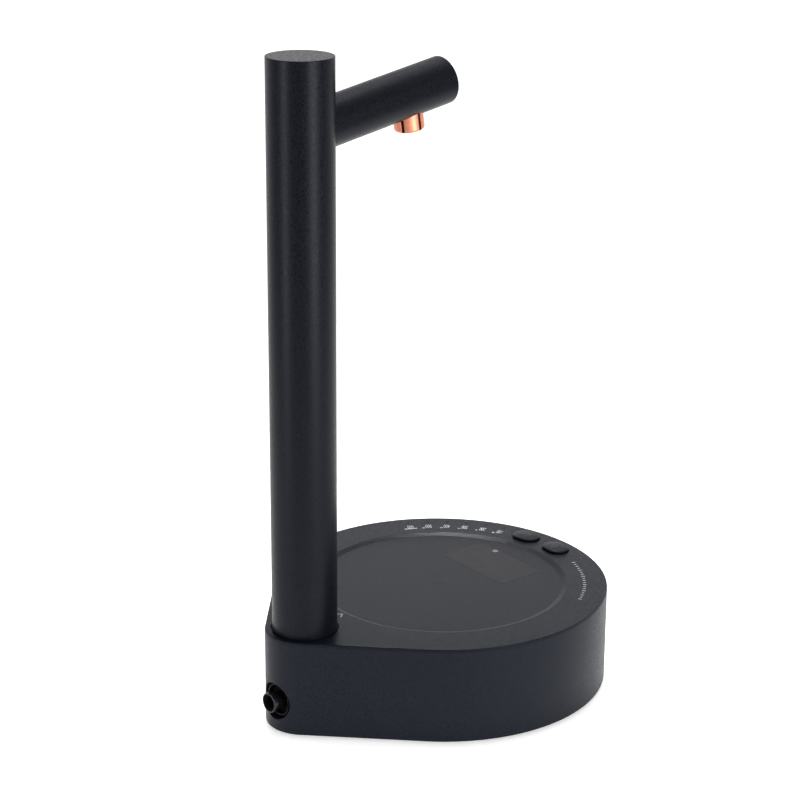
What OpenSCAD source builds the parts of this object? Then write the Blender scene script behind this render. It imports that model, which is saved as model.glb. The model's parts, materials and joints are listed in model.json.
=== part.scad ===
// Countertop water dispenser: a teardrop base with a cup tray, a pump, a battery and
// touch-side buttons, and a lift-off column with a tilted spout and a copper-coloured nozzle.
// Millimetres. +Z is up, the user stands at -Y, and the column rises at +Y.
// The origin is the middle of the whole footprint, on the worktop.

/* [Base] */
// Radius of the round part of the base
base_r = 87; // [80:1:110]
// Width of the base's deck left round the column at its narrow rear end
tail_rim = 3.75; // [3.5:0.05:8]
// Distance from the tray centre to the column axis
column_reach = 91.7; // [88:0.1:125]
// Height of the base housing, without its feet
base_h = 50; // [48:1:70]
// Thickness of the housing wall
wall = 2.5; // [2:0.1:3]
// Thickness of the top cover round its rim
deck_t = 2.5; // [2.5:0.1:4]
// Height of the top cover's visible edge
deck_edge_h = 1.2; // [1:0.1:1.5]
// Thickness of the bottom cover
floor_t = 2.4; // [2.2:0.1:4]
// Height that the feet stand out below the housing
foot_h = 1.5; // [1:0.1:4]
// Radius of each foot
foot_r = 6; // [4:0.5:8]

/* [Tray] */
// Radius of the tray's edge in the deck
tray_r = 66; // [50:0.5:70]
// Depth of the tray
tray_depth = 1.1; // [0.8:0.1:3]
// Width of the tray's sloping edge
tray_slope_w = 2.9; // [2:0.1:5]
// Length of the blank film in the tray
film_l = 51; // [30:1:52]
// Width of the blank film in the tray
film_w = 28.5; // [20:0.5:29]

/* [Buttons and lights] */
// Length of each button along the rim
button_l = 15.4; // [13:0.1:16]
// Width of each button across the rim
button_w = 12.2; // [10:0.1:13]
// Height of a button's edge above the deck
button_proud = 1.3; // [0.8:0.1:2]
// Rise of a button's domed top
button_dome = 0.7; // [0.3:0.1:1]
// Travel of each button
button_travel = 0.8; // [0.4:0.1:1]
// Angle of the power button
power_angle = -80.6; // [-82:0.1:-78]
// Angle of the flow button
flow_angle = -97.4; // [-99:0.1:-96]
// Number of status lights
light_count = 6; // [3:1:7]
// Distance of the status lights from the edge of the deck
light_edge = 6.6; // [6:0.1:8]
// Angle of the first status light
light_start = -29.3; // [-32:0.1:-28]
// Angle between status lights
light_pitch = 7.8; // [5:0.1:7.8]
// Radius of each status light's hole
light_hole_r = 0.6; // [0.4:0.05:0.8]

/* [Column and spout] */
// Outside diameter of the column
column_d = 32.5; // [27:0.1:40]
// Height of the column above the deck
column_h = 285; // [180:1:350]
// Wall of the column and spout tubes
tube_wall = 1.2; // [1:0.1:1.5]
// Outside diameter of the spout
spout_d = 23.7; // [22:0.1:26]
// Length of the spout from the column axis to its end
spout_reach = 89.7; // [80:0.1:110]
// Distance of the spout axis below the top of the column, on the column axis
spout_drop = 35.6; // [26:0.1:60]
// Upward tilt of the spout in degrees
spout_tilt = 9.35; // [0:0.05:20]
// Depth that the column plugs into the base
plug_depth = 14.8; // [14:0.1:16]
// Radius of the column's plug
plug_r = 10; // [8:0.5:11]

/* [Nozzle] */
// Outside diameter of the nozzle
nozzle_d = 14.9; // [13:0.1:17]
// Distance of the nozzle along the spout from the column axis
nozzle_at = 65.3; // [55:0.1:72]
// Distance of the nozzle's lip below the spout axis
nozzle_lip = 17.95; // [16:0.05:24]
// Bore of the nozzle
nozzle_bore_d = 10.4; // [9:0.1:11]
// Number of grooves round the nozzle
groove_count = 5; // [3:1:8]
// Width of each groove
groove_w = 1.8; // [1:0.1:2.5]
// Depth of each groove
groove_depth = 0.7; // [0.3:0.1:1]
// Angle of the first groove, from the user's right
groove_start = 30; // [0:1:72]

/* [Inlet] */
// Height of the inlet axis above the bottom of the housing
inlet_h = 15.6; // [15:0.1:18]
// Radius of the inlet hole in the housing
inlet_hole_r = 9.6; // [9:0.1:10]
// Radius of the bead at the end of the inlet nipple
bead_r = 5.1; // [4.5:0.1:5.5]
// Radius of the nipple behind its bead
neck_r = 4.2; // [3.8:0.1:4.4]
// Length that the nipple stands out from the rear of the housing
nipple_out = 3.5; // [2:0.1:12]

/* [Pump and hoses] */
// Radius of the pump motor
motor_r = 12.1; // [10:0.1:12.5]
// Length of the pump motor
motor_l = 31; // [28:1:36]
// Radius of the pump head
pump_r = 14.2; // [14:0.1:15]
// Distance from the tray centre to the face between motor and pump head
pump_y = 22; // [16:1:26]
// Distance of each pump port from the pump axis
port_offset = 8; // [7.6:0.1:8.2]
// Wall of the hoses
hose_wall = 1.45; // [1:0.05:1.8]
// Radius of the barbs that the hoses fit
barb_r = 2.5; // [2:0.1:2.8]

/* [Hidden] */

$fn = 96;
// Overshoot of a cut past the face that it opens
over = 1;
// Clearance between pieces that move past each other
slide_gap = 0.3;
// Clearance between pieces that are fixed together
seat_gap = 0.1;
// Radial clearance of a running fit
run_gap = 0.05;
// Clearance round a cover that drops into the housing
cover_gap = 0.3;

// Column
column_r = column_d / 2;
tail_r = column_r + tail_rim;

// Main levels
case_z = foot_h;
deck_z = case_z + base_h;
deck_under_z = deck_z - deck_t;
seam_z = deck_z - deck_edge_h;
floor_recess = 0.4;
floor_z = case_z + floor_recess;
floor_top_z = floor_z + floor_t;
tray_z = deck_z - tray_depth;
tray_floor_t = 2;
tray_skirt_r = tray_r + 1.2;
film_t = 0.15;
film_corner = 2;
film_at = [1, 28.5 - tray_r];
film_turn = -4;
flank_angle = asin((base_r - tail_r) / column_reach);

// Groove at the seam between the housing and the top cover
seam_w = 0.3;
seam_h = 0.25;

// Column tube and the recess that its end stands in
column_bore_r = column_r - tube_wall;
column_top_z = deck_z + column_h;
column_recess_r = column_r + 0.75;
cap_t = 1.5;
cap_plug_l = 6;

// Spout
spout_r = spout_d / 2;
spout_bore_r = spout_r - tube_wall;
spout_z = column_top_z - spout_drop;

// Inlet
inlet_z = case_z + inlet_h;
tail_y = column_reach + tail_r;
nipple_tip_y = tail_y + nipple_out;
bead_l = 3;
neck_l = 5.6;
nipple_disc_l = 2;
gasket_l = 0.6;
collar_flange_l = 2.5;
nipple_disc_y = nipple_tip_y - bead_l - neck_l - nipple_disc_l;
gasket_y = nipple_disc_y - gasket_l;
collar_flange_y = gasket_y - collar_flange_l;
collar_face_y = column_reach + sqrt(pow(tail_r, 2) - pow(inlet_hole_r, 2)) - 0.1;
collar_r = inlet_hole_r - 0.6;
collar_bore_r = collar_r - 1.4;
collar_flange_r = inlet_hole_r + 0.6;
thread_r = 5.5;
nut_l = 3.5;
nut_flat = 13;
nut_y = collar_flange_y - nut_l;
inner_barb_l = 10;

// Pump: its lower port lines up with the inlet and its upper port with the column
pump_z = inlet_z + port_offset;
outlet_z = pump_z + port_offset;
housing_l = 14;
valve_plate_l = 2.5;
port_cover_l = 7;
port_barb_l = 11;
diaphragm_t = 1.6;
valve_plate_y = pump_y + housing_l;
port_cover_y = valve_plate_y + valve_plate_l;
port_face_y = port_cover_y + port_cover_l;
chamber_r = pump_r - 3.7;
pump_screw_r = 1;
pump_screw_ring_r = pump_r - 1.9;
shaft_r = 1;
eccentric_r = 5;
eccentric_shift = 1.2;
bush_r = 3;
bush_l = 2.5;
can_wall = 1;
magnet_t = 2;
rotor_air_gap = 0.5;
end_cap_l = 2.5;
motor_rear_y = pump_y - motor_l;

// Socket under the column
plug_floor_z = seam_z - plug_depth;
nose_r = 5;
nose_l = 3.7;
nose_top_z = plug_floor_z + nose_l;
socket_wall = 3.5;
socket_r = plug_r + socket_wall;
socket_z = outlet_z - 3.1;
port_r = plug_r - 1;
port_flange_t = 2;
port_bore_r = nose_r + 0.3;
port_top_z = nose_top_z - 0.2;
barb_bore_r = barb_r - 1;
port_barb_end_y = column_reach - socket_r - 10.5;
key_w = 4;
key_out = 1.5;
port_well_z = outlet_z - barb_bore_r - 0.6;
port_screw_r = 1;
port_screw_at = (port_r + socket_r) / 2;
port_thread_l = 8;

// Foot inside the column and the elbows that carry the water into the spout and the nozzle
foot_plug_l = 14;
foot_barb_l = 12;
elbow_low_l = 18;
elbow_out_l = column_r + 14.75;
elbow_hub_r = 5;
elbow_hub_l = 12;
nozzle_elbow_l = 18;
coupling_neck_r = spout_bore_r - 1.6;
coupling_collar_at = column_r + 2.6;
coupling_collar_l = 13;
coupling_bore_r = spout_bore_r - 4;

// Seal on the column's plug
seal_r = 0.8;
seal_mid_r = port_bore_r - run_gap - seal_r;
seal_z = plug_floor_z + nose_l / 2;

// Hoses: each covers a barb by hose_grip
hose_bore_r = barb_r + run_gap;
hose_r = hose_bore_r + hose_wall;
hose_grip = 9;
clip_l = 4;
clip_t = 0.8;
inlet_hose_y = [port_face_y + port_barb_l - hose_grip, nut_y - inner_barb_l + hose_grip];
outlet_hose_y = [port_face_y + port_barb_l - hose_grip, port_barb_end_y + hose_grip];

// Case screws: each clamps the bottom cover, the housing and the top cover together
case_screw_angles = [30, 150, -10, -170, -126];
case_screw_r = 1.5;
case_screw_l = base_h - 12;
case_screw_ring_r = base_r - wall - 4.1;
boss_r = 3.6;
boss_split_z = case_z + base_h * 0.55;
screw_head_r = 2.8;
screw_head_h = 1.3;
pilot_gap = 0.05;
hole_gap = 0.2;

// Feet
foot_seat_depth = 0.8;
foot_ring_r = base_r - 21;
foot_places = concat(
    [for (a = [45, 135, 225, 315]) [foot_ring_r * cos(a), foot_ring_r * sin(a)]],
    [[0, tail_y - foot_r - wall - 3]]
);

// Buttons and the board under them
button_ring_r = (tray_skirt_r + base_r - wall) / 2;
button_flange = 0.7;
button_flange_t = 1;
button_flange_z = deck_under_z - 0.1 - button_flange_t;
plunger_r = 1.7;
plunger_out = button_travel + slide_gap;
plunger_l = 2.6;
switch_w = 6;
switch_h = 3.5;
board_t = 1.6;
key_board_z = button_flange_z - plunger_out - switch_h - board_t;
key_board_in_r = tray_r + 2.5;
key_board_out_r = base_r - wall - 1;
key_board_from = -110;
key_board_to = -20;
key_pillar_r = 2.5;
key_pillar_ring_r = tray_r + 6.5;
key_pillar_angles = [-24, -52, -106];
small_screw_r = 1;
small_head_r = 1.9;
small_head_h = 1.4;
small_thread_l = 4;

// Status lights
light_ring_r = base_r - light_edge;
led_l = 2;
led_w = 1.25;
led_h = 0.8;
guide_bar_w = 2.8;
guide_bar_t = 1.8;
guide_bar_z = deck_under_z - 2.8;
guide_leg_r = 0.9;
guide_drop = 0.2;

// Battery
cell_r = 9.2;
cell_l = 65;
cell_y = motor_rear_y - 29;
cell_z = floor_top_z + 1.5 + cell_r;
contact_t = 0.6;
holder_wall = 2.4;

// Main board, square to the right-hand flank of the housing
usb_along = 6;
usb_w = 8.9;
usb_h = 3.2;
usb_l = 7.4;
usb_inset = 0.6;
main_board_l = 34;
main_board_w = 24;
main_board_in = wall + 1;
standoff_h = 4.6;
standoff_r = 2.4;
main_board_z = floor_top_z + standoff_h;
usb_z = main_board_z + board_t + usb_h / 2;
main_board_holes = [[-13.5, -8.5], [13.5, -8.5], [-13.5, 8.5]];

// Pump cradle
damper_t = 1.5;
damper_l = 20;
cradle_l = 24;
cradle_y = motor_rear_y + 3;
cradle_r = motor_r + seat_gap + damper_t + seat_gap;
cradle_w = 2 * cradle_r + 14;
cradle_top_z = pump_z - 5;
strap_t = 1.6;
strap_l = 12;
strap_foot_w = 6;

// The tray centre is set so that the whole footprint is centred on the origin
tray_y = (base_r - nipple_tip_y) / 2;

// Colours
BLACK = "#2b3038";
SATIN = "#2f333b";
COPPER = "#d98a6a";
RUBBER = "#1c1c1e";
STEEL = "#b9bcc0";
BOARD = "#1f5a3a";
WHITE = "#e8e8e4";

// Moves from the tray-centred working frame to the frame of the whole part
module placed() {
    translate([0, tray_y, 0]) children();
}

// Frame of the column: origin on its axis, on the worktop
module at_column() {
    translate([0, column_reach, 0]) children();
}

// Frame of the spout: +Z runs out along the spout and -Y points down to the nozzle
module in_spout() {
    translate([0, column_reach, spout_z]) rotate([90 - spout_tilt, 0, 0]) children();
}

// Frame of the nozzle: +Z runs down and out of the nozzle
module in_nozzle() {
    in_spout() translate([0, 0, nozzle_at]) rotate([90, 0, 0]) children();
}

// Frame of something that lies along +Y, starting at y, at height z
module along_y(y, z) {
    translate([0, y, z]) rotate([-90, 0, 0]) children();
}

// Frame on the outer face of the right-hand flank: +X runs forward along the flank,
// +Y points into the housing and the origin is at the flank's middle
module at_flank() {
    middle_x = (base_r + tail_r) / 2 * cos(flank_angle);
    middle_y = column_reach / 2 + (base_r + tail_r) / 2 * sin(flank_angle);
    translate([middle_x, middle_y, 0]) rotate([0, 0, flank_angle - 90]) mirror([0, 1, 0]) children();
}

// Places children round the tray centre, at a radius and an angle
module on_ring(radius, angle) {
    rotate([0, 0, angle]) translate([radius, 0, 0]) children();
}

// Outline of the base, inset by a distance: two circles joined by their common tangents
module teardrop(inset) {
    big = base_r - inset;
    small = tail_r - inset;
    c = cos(flank_angle);
    s = sin(flank_angle);
    circle(r = big);
    translate([0, column_reach]) circle(r = small);
    polygon([
        [big * c, big * s],
        [small * c, column_reach + small * s],
        [-small * c, column_reach + small * s],
        [-big * c, big * s]
    ]);
}

// Flat ring
module ring(outer, inner, height) {
    difference() {
        cylinder(r = outer, h = height);
        translate([0, 0, -over]) cylinder(r = inner, h = height + 2 * over);
    }
}

// Rectangle with round ends, centred, w across
module slot_profile(w, h) {
    flat_w = w - h;
    square([flat_w, h], center = true);
    translate([flat_w / 2, 0]) circle(d = h);
    translate([-flat_w / 2, 0]) circle(d = h);
}

// Frame of the film, with its underside at z = 0
module at_film() {
    translate([film_at[0], film_at[1], tray_z - film_t]) rotate([0, 0, film_turn]) children();
}

// Outline of the film, grown by a distance
module film_outline(grow) {
    side_x = film_l / 2 - film_corner;
    side_y = film_w / 2 - film_corner;
    square([film_l + 2 * grow, 2 * side_y], center = true);
    square([2 * side_x, film_w + 2 * grow], center = true);
    for (x = [-side_x, side_x], y = [-side_y, side_y]) {
        translate([x, y]) circle(r = film_corner + grow, $fn = 32);
    }
}

// Outline of a button, grown by a distance: round ends, and its length along the rim
module button_outline(grow) {
    side = (button_l - button_w) / 2;
    square([button_w + 2 * grow, 2 * side], center = true);
    for (y = [-side, side]) {
        translate([0, y]) circle(r = button_w / 2 + grow);
    }
}

// Screw with its head's top face at z = 0 and its shank along +Z
module screw(shank_r, head_r, head_h, length) {
    cylinder(r = head_r, h = head_h);
    translate([0, 0, head_h - 0.01]) cylinder(r = shank_r, h = length - head_h + 0.01);
}

// Washer-shaped torus round Z
module torus(mid_r, minor_r) {
    rotate_extrude() translate([mid_r, 0]) circle(r = minor_r, $fn = 32);
}

// ---- Base housing ----

module base_shell() {
    color(BLACK) placed() difference() {
        union() {
            difference() {
                union() {
                    translate([0, 0, case_z])
                        linear_extrude(seam_z - seam_h - case_z) teardrop(0);
                    translate([0, 0, seam_z - seam_h])
                        linear_extrude(seam_h) teardrop(seam_w);
                }
                translate([0, 0, case_z - over]) linear_extrude(base_h + 2 * over) teardrop(wall);
            }
            for (a = case_screw_angles) {
                on_ring(case_screw_ring_r, a) translate([0, 0, floor_top_z]) {
                    cylinder(r = boss_r, h = boss_split_z - floor_top_z);
                    translate([0, -1.5, 0])
                        cube([base_r - wall / 2 - case_screw_ring_r, 3, boss_split_z - floor_top_z]);
                }
            }
        }
        for (a = case_screw_angles) {
            on_ring(case_screw_ring_r, a) translate([0, 0, floor_top_z - over])
                cylinder(r = case_screw_r + hole_gap, h = base_h);
        }
        along_y(column_reach, inlet_z) cylinder(r = inlet_hole_r, h = tail_r + over);
        at_flank() translate([usb_along, -over, usb_z]) rotate([-90, 0, 0])
            linear_extrude(wall + 2 * over) slot_profile(usb_w + 0.6, usb_h + 0.6);
    }
}

module top_cover() {
    color(SATIN) placed() difference() {
        union() {
            translate([0, 0, seam_z]) linear_extrude(deck_edge_h) teardrop(0);
            translate([0, 0, deck_under_z])
                linear_extrude(seam_z - deck_under_z + 0.01) teardrop(wall + cover_gap);
            translate([0, 0, tray_z - tray_floor_t])
                cylinder(r = tray_skirt_r, h = deck_under_z - tray_z + tray_floor_t + 0.01);
            for (a = case_screw_angles) {
                on_ring(case_screw_ring_r, a) translate([0, 0, boss_split_z])
                    cylinder(r = boss_r, h = deck_under_z - boss_split_z + 0.01);
            }
            for (a = key_pillar_angles) {
                on_ring(key_pillar_ring_r, a) translate([0, 0, key_board_z + board_t])
                    cylinder(r = key_pillar_r, h = deck_under_z - key_board_z - board_t + 0.01);
            }
            at_column() translate([0, 0, socket_z])
                cylinder(r = socket_r, h = deck_under_z - socket_z + 0.01);
        }
        translate([0, 0, tray_z])
            cylinder(r1 = tray_r - tray_slope_w, r2 = tray_r, h = tray_depth);
        translate([0, 0, deck_z]) cylinder(r = tray_r, h = over);
        at_film() linear_extrude(film_t + over) film_outline(seat_gap);
        at_column() {
            translate([0, 0, seam_z]) cylinder(r = column_recess_r, h = deck_edge_h + over);
            translate([0, 0, nose_top_z]) cylinder(r = plug_r + run_gap, h = plug_depth + over);
            translate([0, 0, socket_z - over])
                cylinder(r = port_r + run_gap, h = nose_top_z - socket_z + 2 * over);
            translate([-key_w / 2 - hole_gap, -plug_r - key_out - slide_gap, nose_top_z])
                cube([key_w + 2 * hole_gap, plug_r, plug_depth + over]);
            translate([-barb_r - slide_gap, -socket_r - over, socket_z - over])
                cube([2 * (barb_r + slide_gap), socket_r, outlet_z + barb_r + slide_gap - socket_z + over]);
            for (side = [-1, 1]) {
                translate([side * port_screw_at, 0, socket_z - over])
                    cylinder(r = port_screw_r + pilot_gap, h = port_thread_l + 1 + over);
            }
        }
        for (a = case_screw_angles) {
            on_ring(case_screw_ring_r, a) translate([0, 0, boss_split_z - over])
                cylinder(r = case_screw_r + pilot_gap, h = case_screw_l + floor_z + 2 - boss_split_z);
        }
        for (a = key_pillar_angles) {
            on_ring(key_pillar_ring_r, a) translate([0, 0, key_board_z])
                cylinder(r = small_screw_r + pilot_gap, h = board_t + small_thread_l + hole_gap);
        }
        for (a = [power_angle, flow_angle]) {
            on_ring(button_ring_r, a) translate([0, 0, deck_under_z - over])
                linear_extrude(deck_t + 2 * over) button_outline(slide_gap);
        }
        for (i = [0 : light_count - 1]) {
            on_ring(light_ring_r, light_start - i * light_pitch)
                translate([0, 0, deck_under_z - over]) cylinder(r = light_hole_r, h = deck_t + 2 * over);
        }
    }
}

module bottom_cover() {
    color(BLACK) placed() difference() {
        union() {
            translate([0, 0, floor_z]) linear_extrude(floor_t) teardrop(wall + cover_gap);
            at_flank() for (p = main_board_holes) {
                translate([usb_along + p[0], main_board_in + main_board_w / 2 + p[1], floor_z])
                    cylinder(r = standoff_r, h = floor_t + standoff_h);
            }
        }
        for (a = case_screw_angles) {
            on_ring(case_screw_ring_r, a) translate([0, 0, floor_z - over]) {
                cylinder(r = case_screw_r + hole_gap, h = floor_t + 2 * over);
                cylinder(r = screw_head_r + hole_gap, h = screw_head_h + 0.1 + over);
            }
        }
        for (p = foot_places) {
            translate([p[0], p[1], floor_z - over])
                cylinder(r = foot_r + seat_gap, h = foot_seat_depth + over);
        }
        at_flank() for (p = main_board_holes) {
            translate([usb_along + p[0], main_board_in + main_board_w / 2 + p[1], floor_top_z])
                cylinder(r = small_screw_r + pilot_gap, h = standoff_h + over);
        }
    }
}

module rubber_feet() {
    color(RUBBER) placed() for (p = foot_places) {
        translate([p[0], p[1], 0]) {
            cylinder(r1 = foot_r - 0.5, r2 = foot_r, h = 0.5);
            translate([0, 0, 0.5]) cylinder(r = foot_r, h = floor_z + foot_seat_depth - 0.5);
        }
    }
}

module case_screws() {
    color(STEEL) placed() for (a = case_screw_angles) {
        on_ring(case_screw_ring_r, a) translate([0, 0, floor_z + 0.1])
            screw(case_screw_r, screw_head_r, screw_head_h, case_screw_l);
    }
}

module tray_film() {
    color("#3a3a3c") placed() at_film() linear_extrude(film_t) film_outline(0);
}

// ---- Buttons ----

// Domed button with a flange that keeps it under the deck
module button(angle) {
    edge_z = deck_z + button_proud;
    dome_r = (pow(button_l / 2, 2) + pow(button_dome, 2)) / (2 * button_dome);
    placed() on_ring(button_ring_r, angle) {
        translate([0, 0, button_flange_z]) linear_extrude(button_flange_t) button_outline(button_flange);
        intersection() {
            translate([0, 0, button_flange_z]) linear_extrude(base_h) button_outline(0);
            translate([0, 0, edge_z + button_dome - dome_r]) sphere(r = dome_r, $fn = 180);
        }
    }
}

module power_button() {
    color(BLACK) button(power_angle);
}

module flow_button() {
    color(BLACK) button(flow_angle);
}

// Plunger that a button pushes into its switch
module plunger(angle) {
    placed() on_ring(button_ring_r, angle)
        translate([0, 0, button_flange_z - plunger_l]) cylinder(r = plunger_r, h = plunger_l);
}

module power_plunger() {
    color(WHITE) plunger(power_angle);
}

module flow_plunger() {
    color(WHITE) plunger(flow_angle);
}

module tact_switches() {
    well = plunger_l - plunger_out + button_travel + slide_gap;
    color("#3b3b3b") placed() for (a = [power_angle, flow_angle]) {
        on_ring(button_ring_r, a) translate([0, 0, key_board_z + board_t]) difference() {
            translate([-switch_w / 2, -switch_w / 2, 0]) cube([switch_w, switch_w, switch_h]);
            translate([0, 0, switch_h - well]) cylinder(r = plunger_r + slide_gap, h = well + over);
        }
    }
}

module key_board() {
    color(BOARD) placed() difference() {
        rotate([0, 0, key_board_from]) rotate_extrude(angle = key_board_to - key_board_from)
            translate([key_board_in_r, key_board_z]) square([key_board_out_r - key_board_in_r, board_t]);
        for (a = key_pillar_angles) {
            on_ring(key_pillar_ring_r, a) translate([0, 0, key_board_z - over])
                cylinder(r = small_screw_r + hole_gap, h = board_t + 2 * over);
        }
    }
}

module key_board_screws() {
    color(STEEL) placed() for (a = key_pillar_angles) {
        on_ring(key_pillar_ring_r, a) translate([0, 0, key_board_z - small_head_h])
            screw(small_screw_r, small_head_r, small_head_h, small_head_h + board_t + small_thread_l);
    }
}

module status_leds() {
    color(WHITE) placed() for (i = [0 : light_count - 1]) {
        on_ring(light_ring_r, light_start - i * light_pitch)
            translate([-led_w / 2, -led_l / 2, key_board_z + board_t]) cube([led_w, led_l, led_h]);
    }
}

module light_guide() {
    bar_from = light_start - (light_count - 1) * light_pitch - 1.5;
    bar_sweep = (light_count - 1) * light_pitch + 3;
    leg_z = key_board_z + board_t + led_h + 0.1;
    color(WHITE) placed() {
        rotate([0, 0, bar_from]) rotate_extrude(angle = bar_sweep)
            translate([light_ring_r - guide_bar_w / 2, guide_bar_z]) square([guide_bar_w, guide_bar_t]);
        for (i = [0 : light_count - 1]) {
            on_ring(light_ring_r, light_start - i * light_pitch) {
                translate([0, 0, guide_bar_z])
                    cylinder(r = light_hole_r - run_gap, h = deck_z - guide_drop - guide_bar_z);
                translate([0, 0, leg_z]) cylinder(r = guide_leg_r, h = guide_bar_z + 0.5 - leg_z);
            }
        }
    }
}

// ---- Power and control ----

module battery_cell() {
    nub_r = 3;
    nub_l = 1.2;
    color("#3f6f8f") placed() translate([-cell_l / 2, cell_y, cell_z]) rotate([0, 90, 0]) {
        cylinder(r = cell_r, h = cell_l - nub_l);
        cylinder(r = nub_r, h = cell_l);
    }
}

module battery_holder() {
    inner_l = cell_l + 2 * contact_t + 2 * seat_gap;
    outer_l = inner_l + 2 * holder_wall;
    outer_w = 2 * (cell_r + holder_wall);
    color(BLACK) placed() translate([0, cell_y, 0]) difference() {
        translate([-outer_l / 2, -outer_w / 2, floor_top_z]) cube([outer_l, outer_w, cell_z - floor_top_z]);
        translate([-inner_l / 2, 0, cell_z]) rotate([0, 90, 0]) cylinder(r = cell_r + 0.2, h = inner_l);
    }
}

module battery_contacts() {
    color(STEEL) placed() for (side = [-1, 1]) {
        translate([side * (cell_l / 2 + contact_t / 2 + seat_gap / 2), cell_y, cell_z - cell_r / 2])
            cube([contact_t, 8, cell_r - 2], center = true);
    }
}

module main_board() {
    color(BOARD) placed() at_flank() difference() {
        translate([usb_along - main_board_l / 2, main_board_in, main_board_z])
            cube([main_board_l, main_board_w, board_t]);
        for (p = main_board_holes) {
            translate([usb_along + p[0], main_board_in + main_board_w / 2 + p[1], main_board_z - over])
                cylinder(r = small_screw_r + hole_gap, h = board_t + 2 * over);
        }
    }
}

module main_board_screws() {
    top_z = main_board_z + board_t + small_head_h;
    color(STEEL) placed() at_flank() for (p = main_board_holes) {
        translate([usb_along + p[0], main_board_in + main_board_w / 2 + p[1], top_z]) mirror([0, 0, 1])
            screw(small_screw_r, small_head_r, small_head_h, small_head_h + board_t + small_thread_l);
    }
}

module board_components() {
    controller = [[-2.5, 12], [5, 5, 1.2]];
    coil = [[6, 11], [6, 6, 3]];
    plug = [[1, 18.5], [7.5, 4.5, 5.5]];
    charger = [[-12, 8], [4, 6, 1]];
    capacitor_at = [-8, 17.5];
    capacitor_r = 2.5;
    capacitor_h = 7;
    color("#222426") placed() at_flank() translate([usb_along, main_board_in, main_board_z + board_t]) {
        for (item = [controller, coil, plug, charger]) {
            translate([item[0][0], item[0][1], 0]) cube(item[1]);
        }
        translate([capacitor_at[0], capacitor_at[1], 0]) cylinder(r = capacitor_r, h = capacitor_h);
    }
}

module usb_socket() {
    sheet_t = 0.4;
    tongue_w = 6.6;
    tongue_t = 0.7;
    color(STEEL) placed() at_flank() translate([usb_along, usb_inset, usb_z]) rotate([-90, 0, 0]) {
        difference() {
            linear_extrude(usb_l) slot_profile(usb_w, usb_h);
            translate([0, 0, -over])
                linear_extrude(usb_l) slot_profile(usb_w - 2 * sheet_t, usb_h - 2 * sheet_t);
        }
        translate([-tongue_w / 2, -tongue_t / 2, 1]) cube([tongue_w, tongue_t, usb_l - 1.2]);
    }
}

// ---- Motor and pump ----

module motor_can() {
    color(STEEL) placed() along_y(motor_rear_y + end_cap_l, pump_z) difference() {
        cylinder(r = motor_r, h = motor_l - end_cap_l);
        translate([0, 0, -over]) cylinder(r = motor_r - can_wall, h = motor_l - end_cap_l - can_wall + over);
        cylinder(r = bush_r, h = motor_l);
    }
}

module motor_magnets() {
    outer = motor_r - can_wall - seat_gap / 2;
    magnet_l = motor_l * 0.6;
    color("#4a4644") placed() along_y(motor_rear_y + end_cap_l + 2, pump_z) difference() {
        ring(outer, outer - magnet_t, magnet_l);
        translate([-2, -motor_r, -over]) cube([4, 2 * motor_r, magnet_l + 2 * over]);
    }
}

module motor_end_cap() {
    terminal_at = 8;
    terminal_w = 2.5;
    terminal_t = 0.5;
    terminal_l = 4;
    color("#2a2a2a") placed() along_y(motor_rear_y, pump_z) {
        difference() {
            cylinder(r = motor_r, h = end_cap_l);
            translate([0, 0, -over]) cylinder(r = bush_r, h = end_cap_l + 2 * over);
        }
        for (side = [-1, 1]) {
            translate([side * terminal_at - terminal_w / 2, -terminal_t / 2, -terminal_l])
                cube([terminal_w, terminal_t, terminal_l + 0.5]);
        }
    }
}

module motor_bushes() {
    color("#b98b4a") placed() {
        along_y(motor_rear_y, pump_z) ring(bush_r - seat_gap / 2, shaft_r + run_gap, bush_l);
        along_y(pump_y - bush_l, pump_z) ring(bush_r - seat_gap / 2, shaft_r + run_gap, bush_l);
    }
}

module motor_rotor() {
    core_l = motor_l * 0.58;
    slot_r = 1.6;
    magnet_in_r = motor_r - can_wall - seat_gap / 2 - magnet_t;
    core_y = motor_rear_y + end_cap_l + 2.5;
    color("#8d5a3a") placed() {
        along_y(motor_rear_y - 1, pump_z) cylinder(r = shaft_r, h = motor_l + 12);
        along_y(core_y, pump_z) difference() {
            cylinder(r = magnet_in_r - rotor_air_gap, h = core_l);
            for (a = [0, 120, 240]) {
                on_ring(magnet_in_r - 3, a) translate([0, 0, -over])
                    cylinder(r = slot_r, h = core_l + 2 * over);
            }
        }
    }
}

module pump_housing() {
    color(BLACK) placed() along_y(pump_y, pump_z) difference() {
        cylinder(r = pump_r, h = housing_l);
        translate([0, 0, 1.5]) cylinder(r = chamber_r, h = housing_l);
        translate([0, 0, -over]) cylinder(r = shaft_r + 1, h = 4);
        for (a = [45 : 90 : 315]) {
            on_ring(pump_screw_ring_r, a) translate([0, 0, 2])
                cylinder(r = pump_screw_r + pilot_gap, h = housing_l);
        }
    }
}

module pump_eccentric() {
    eccentric_l = 6.5;
    color(WHITE) placed() along_y(pump_y + 2.2, pump_z) difference() {
        translate([eccentric_shift, 0, 0]) cylinder(r = eccentric_r, h = eccentric_l);
        translate([0, 0, -over]) cylinder(r = shaft_r, h = eccentric_l + 2 * over);
    }
}

module pump_diaphragm() {
    color("#7a7f84") placed() {
        along_y(valve_plate_y - diaphragm_t, pump_z) difference() {
            cylinder(r = chamber_r - seat_gap, h = diaphragm_t);
            for (a = [0, 180]) {
                on_ring(chamber_r - 3.5, a) translate([0, 0, diaphragm_t - 0.5]) cylinder(r = 2.2, h = over);
            }
        }
    }
}

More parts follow.
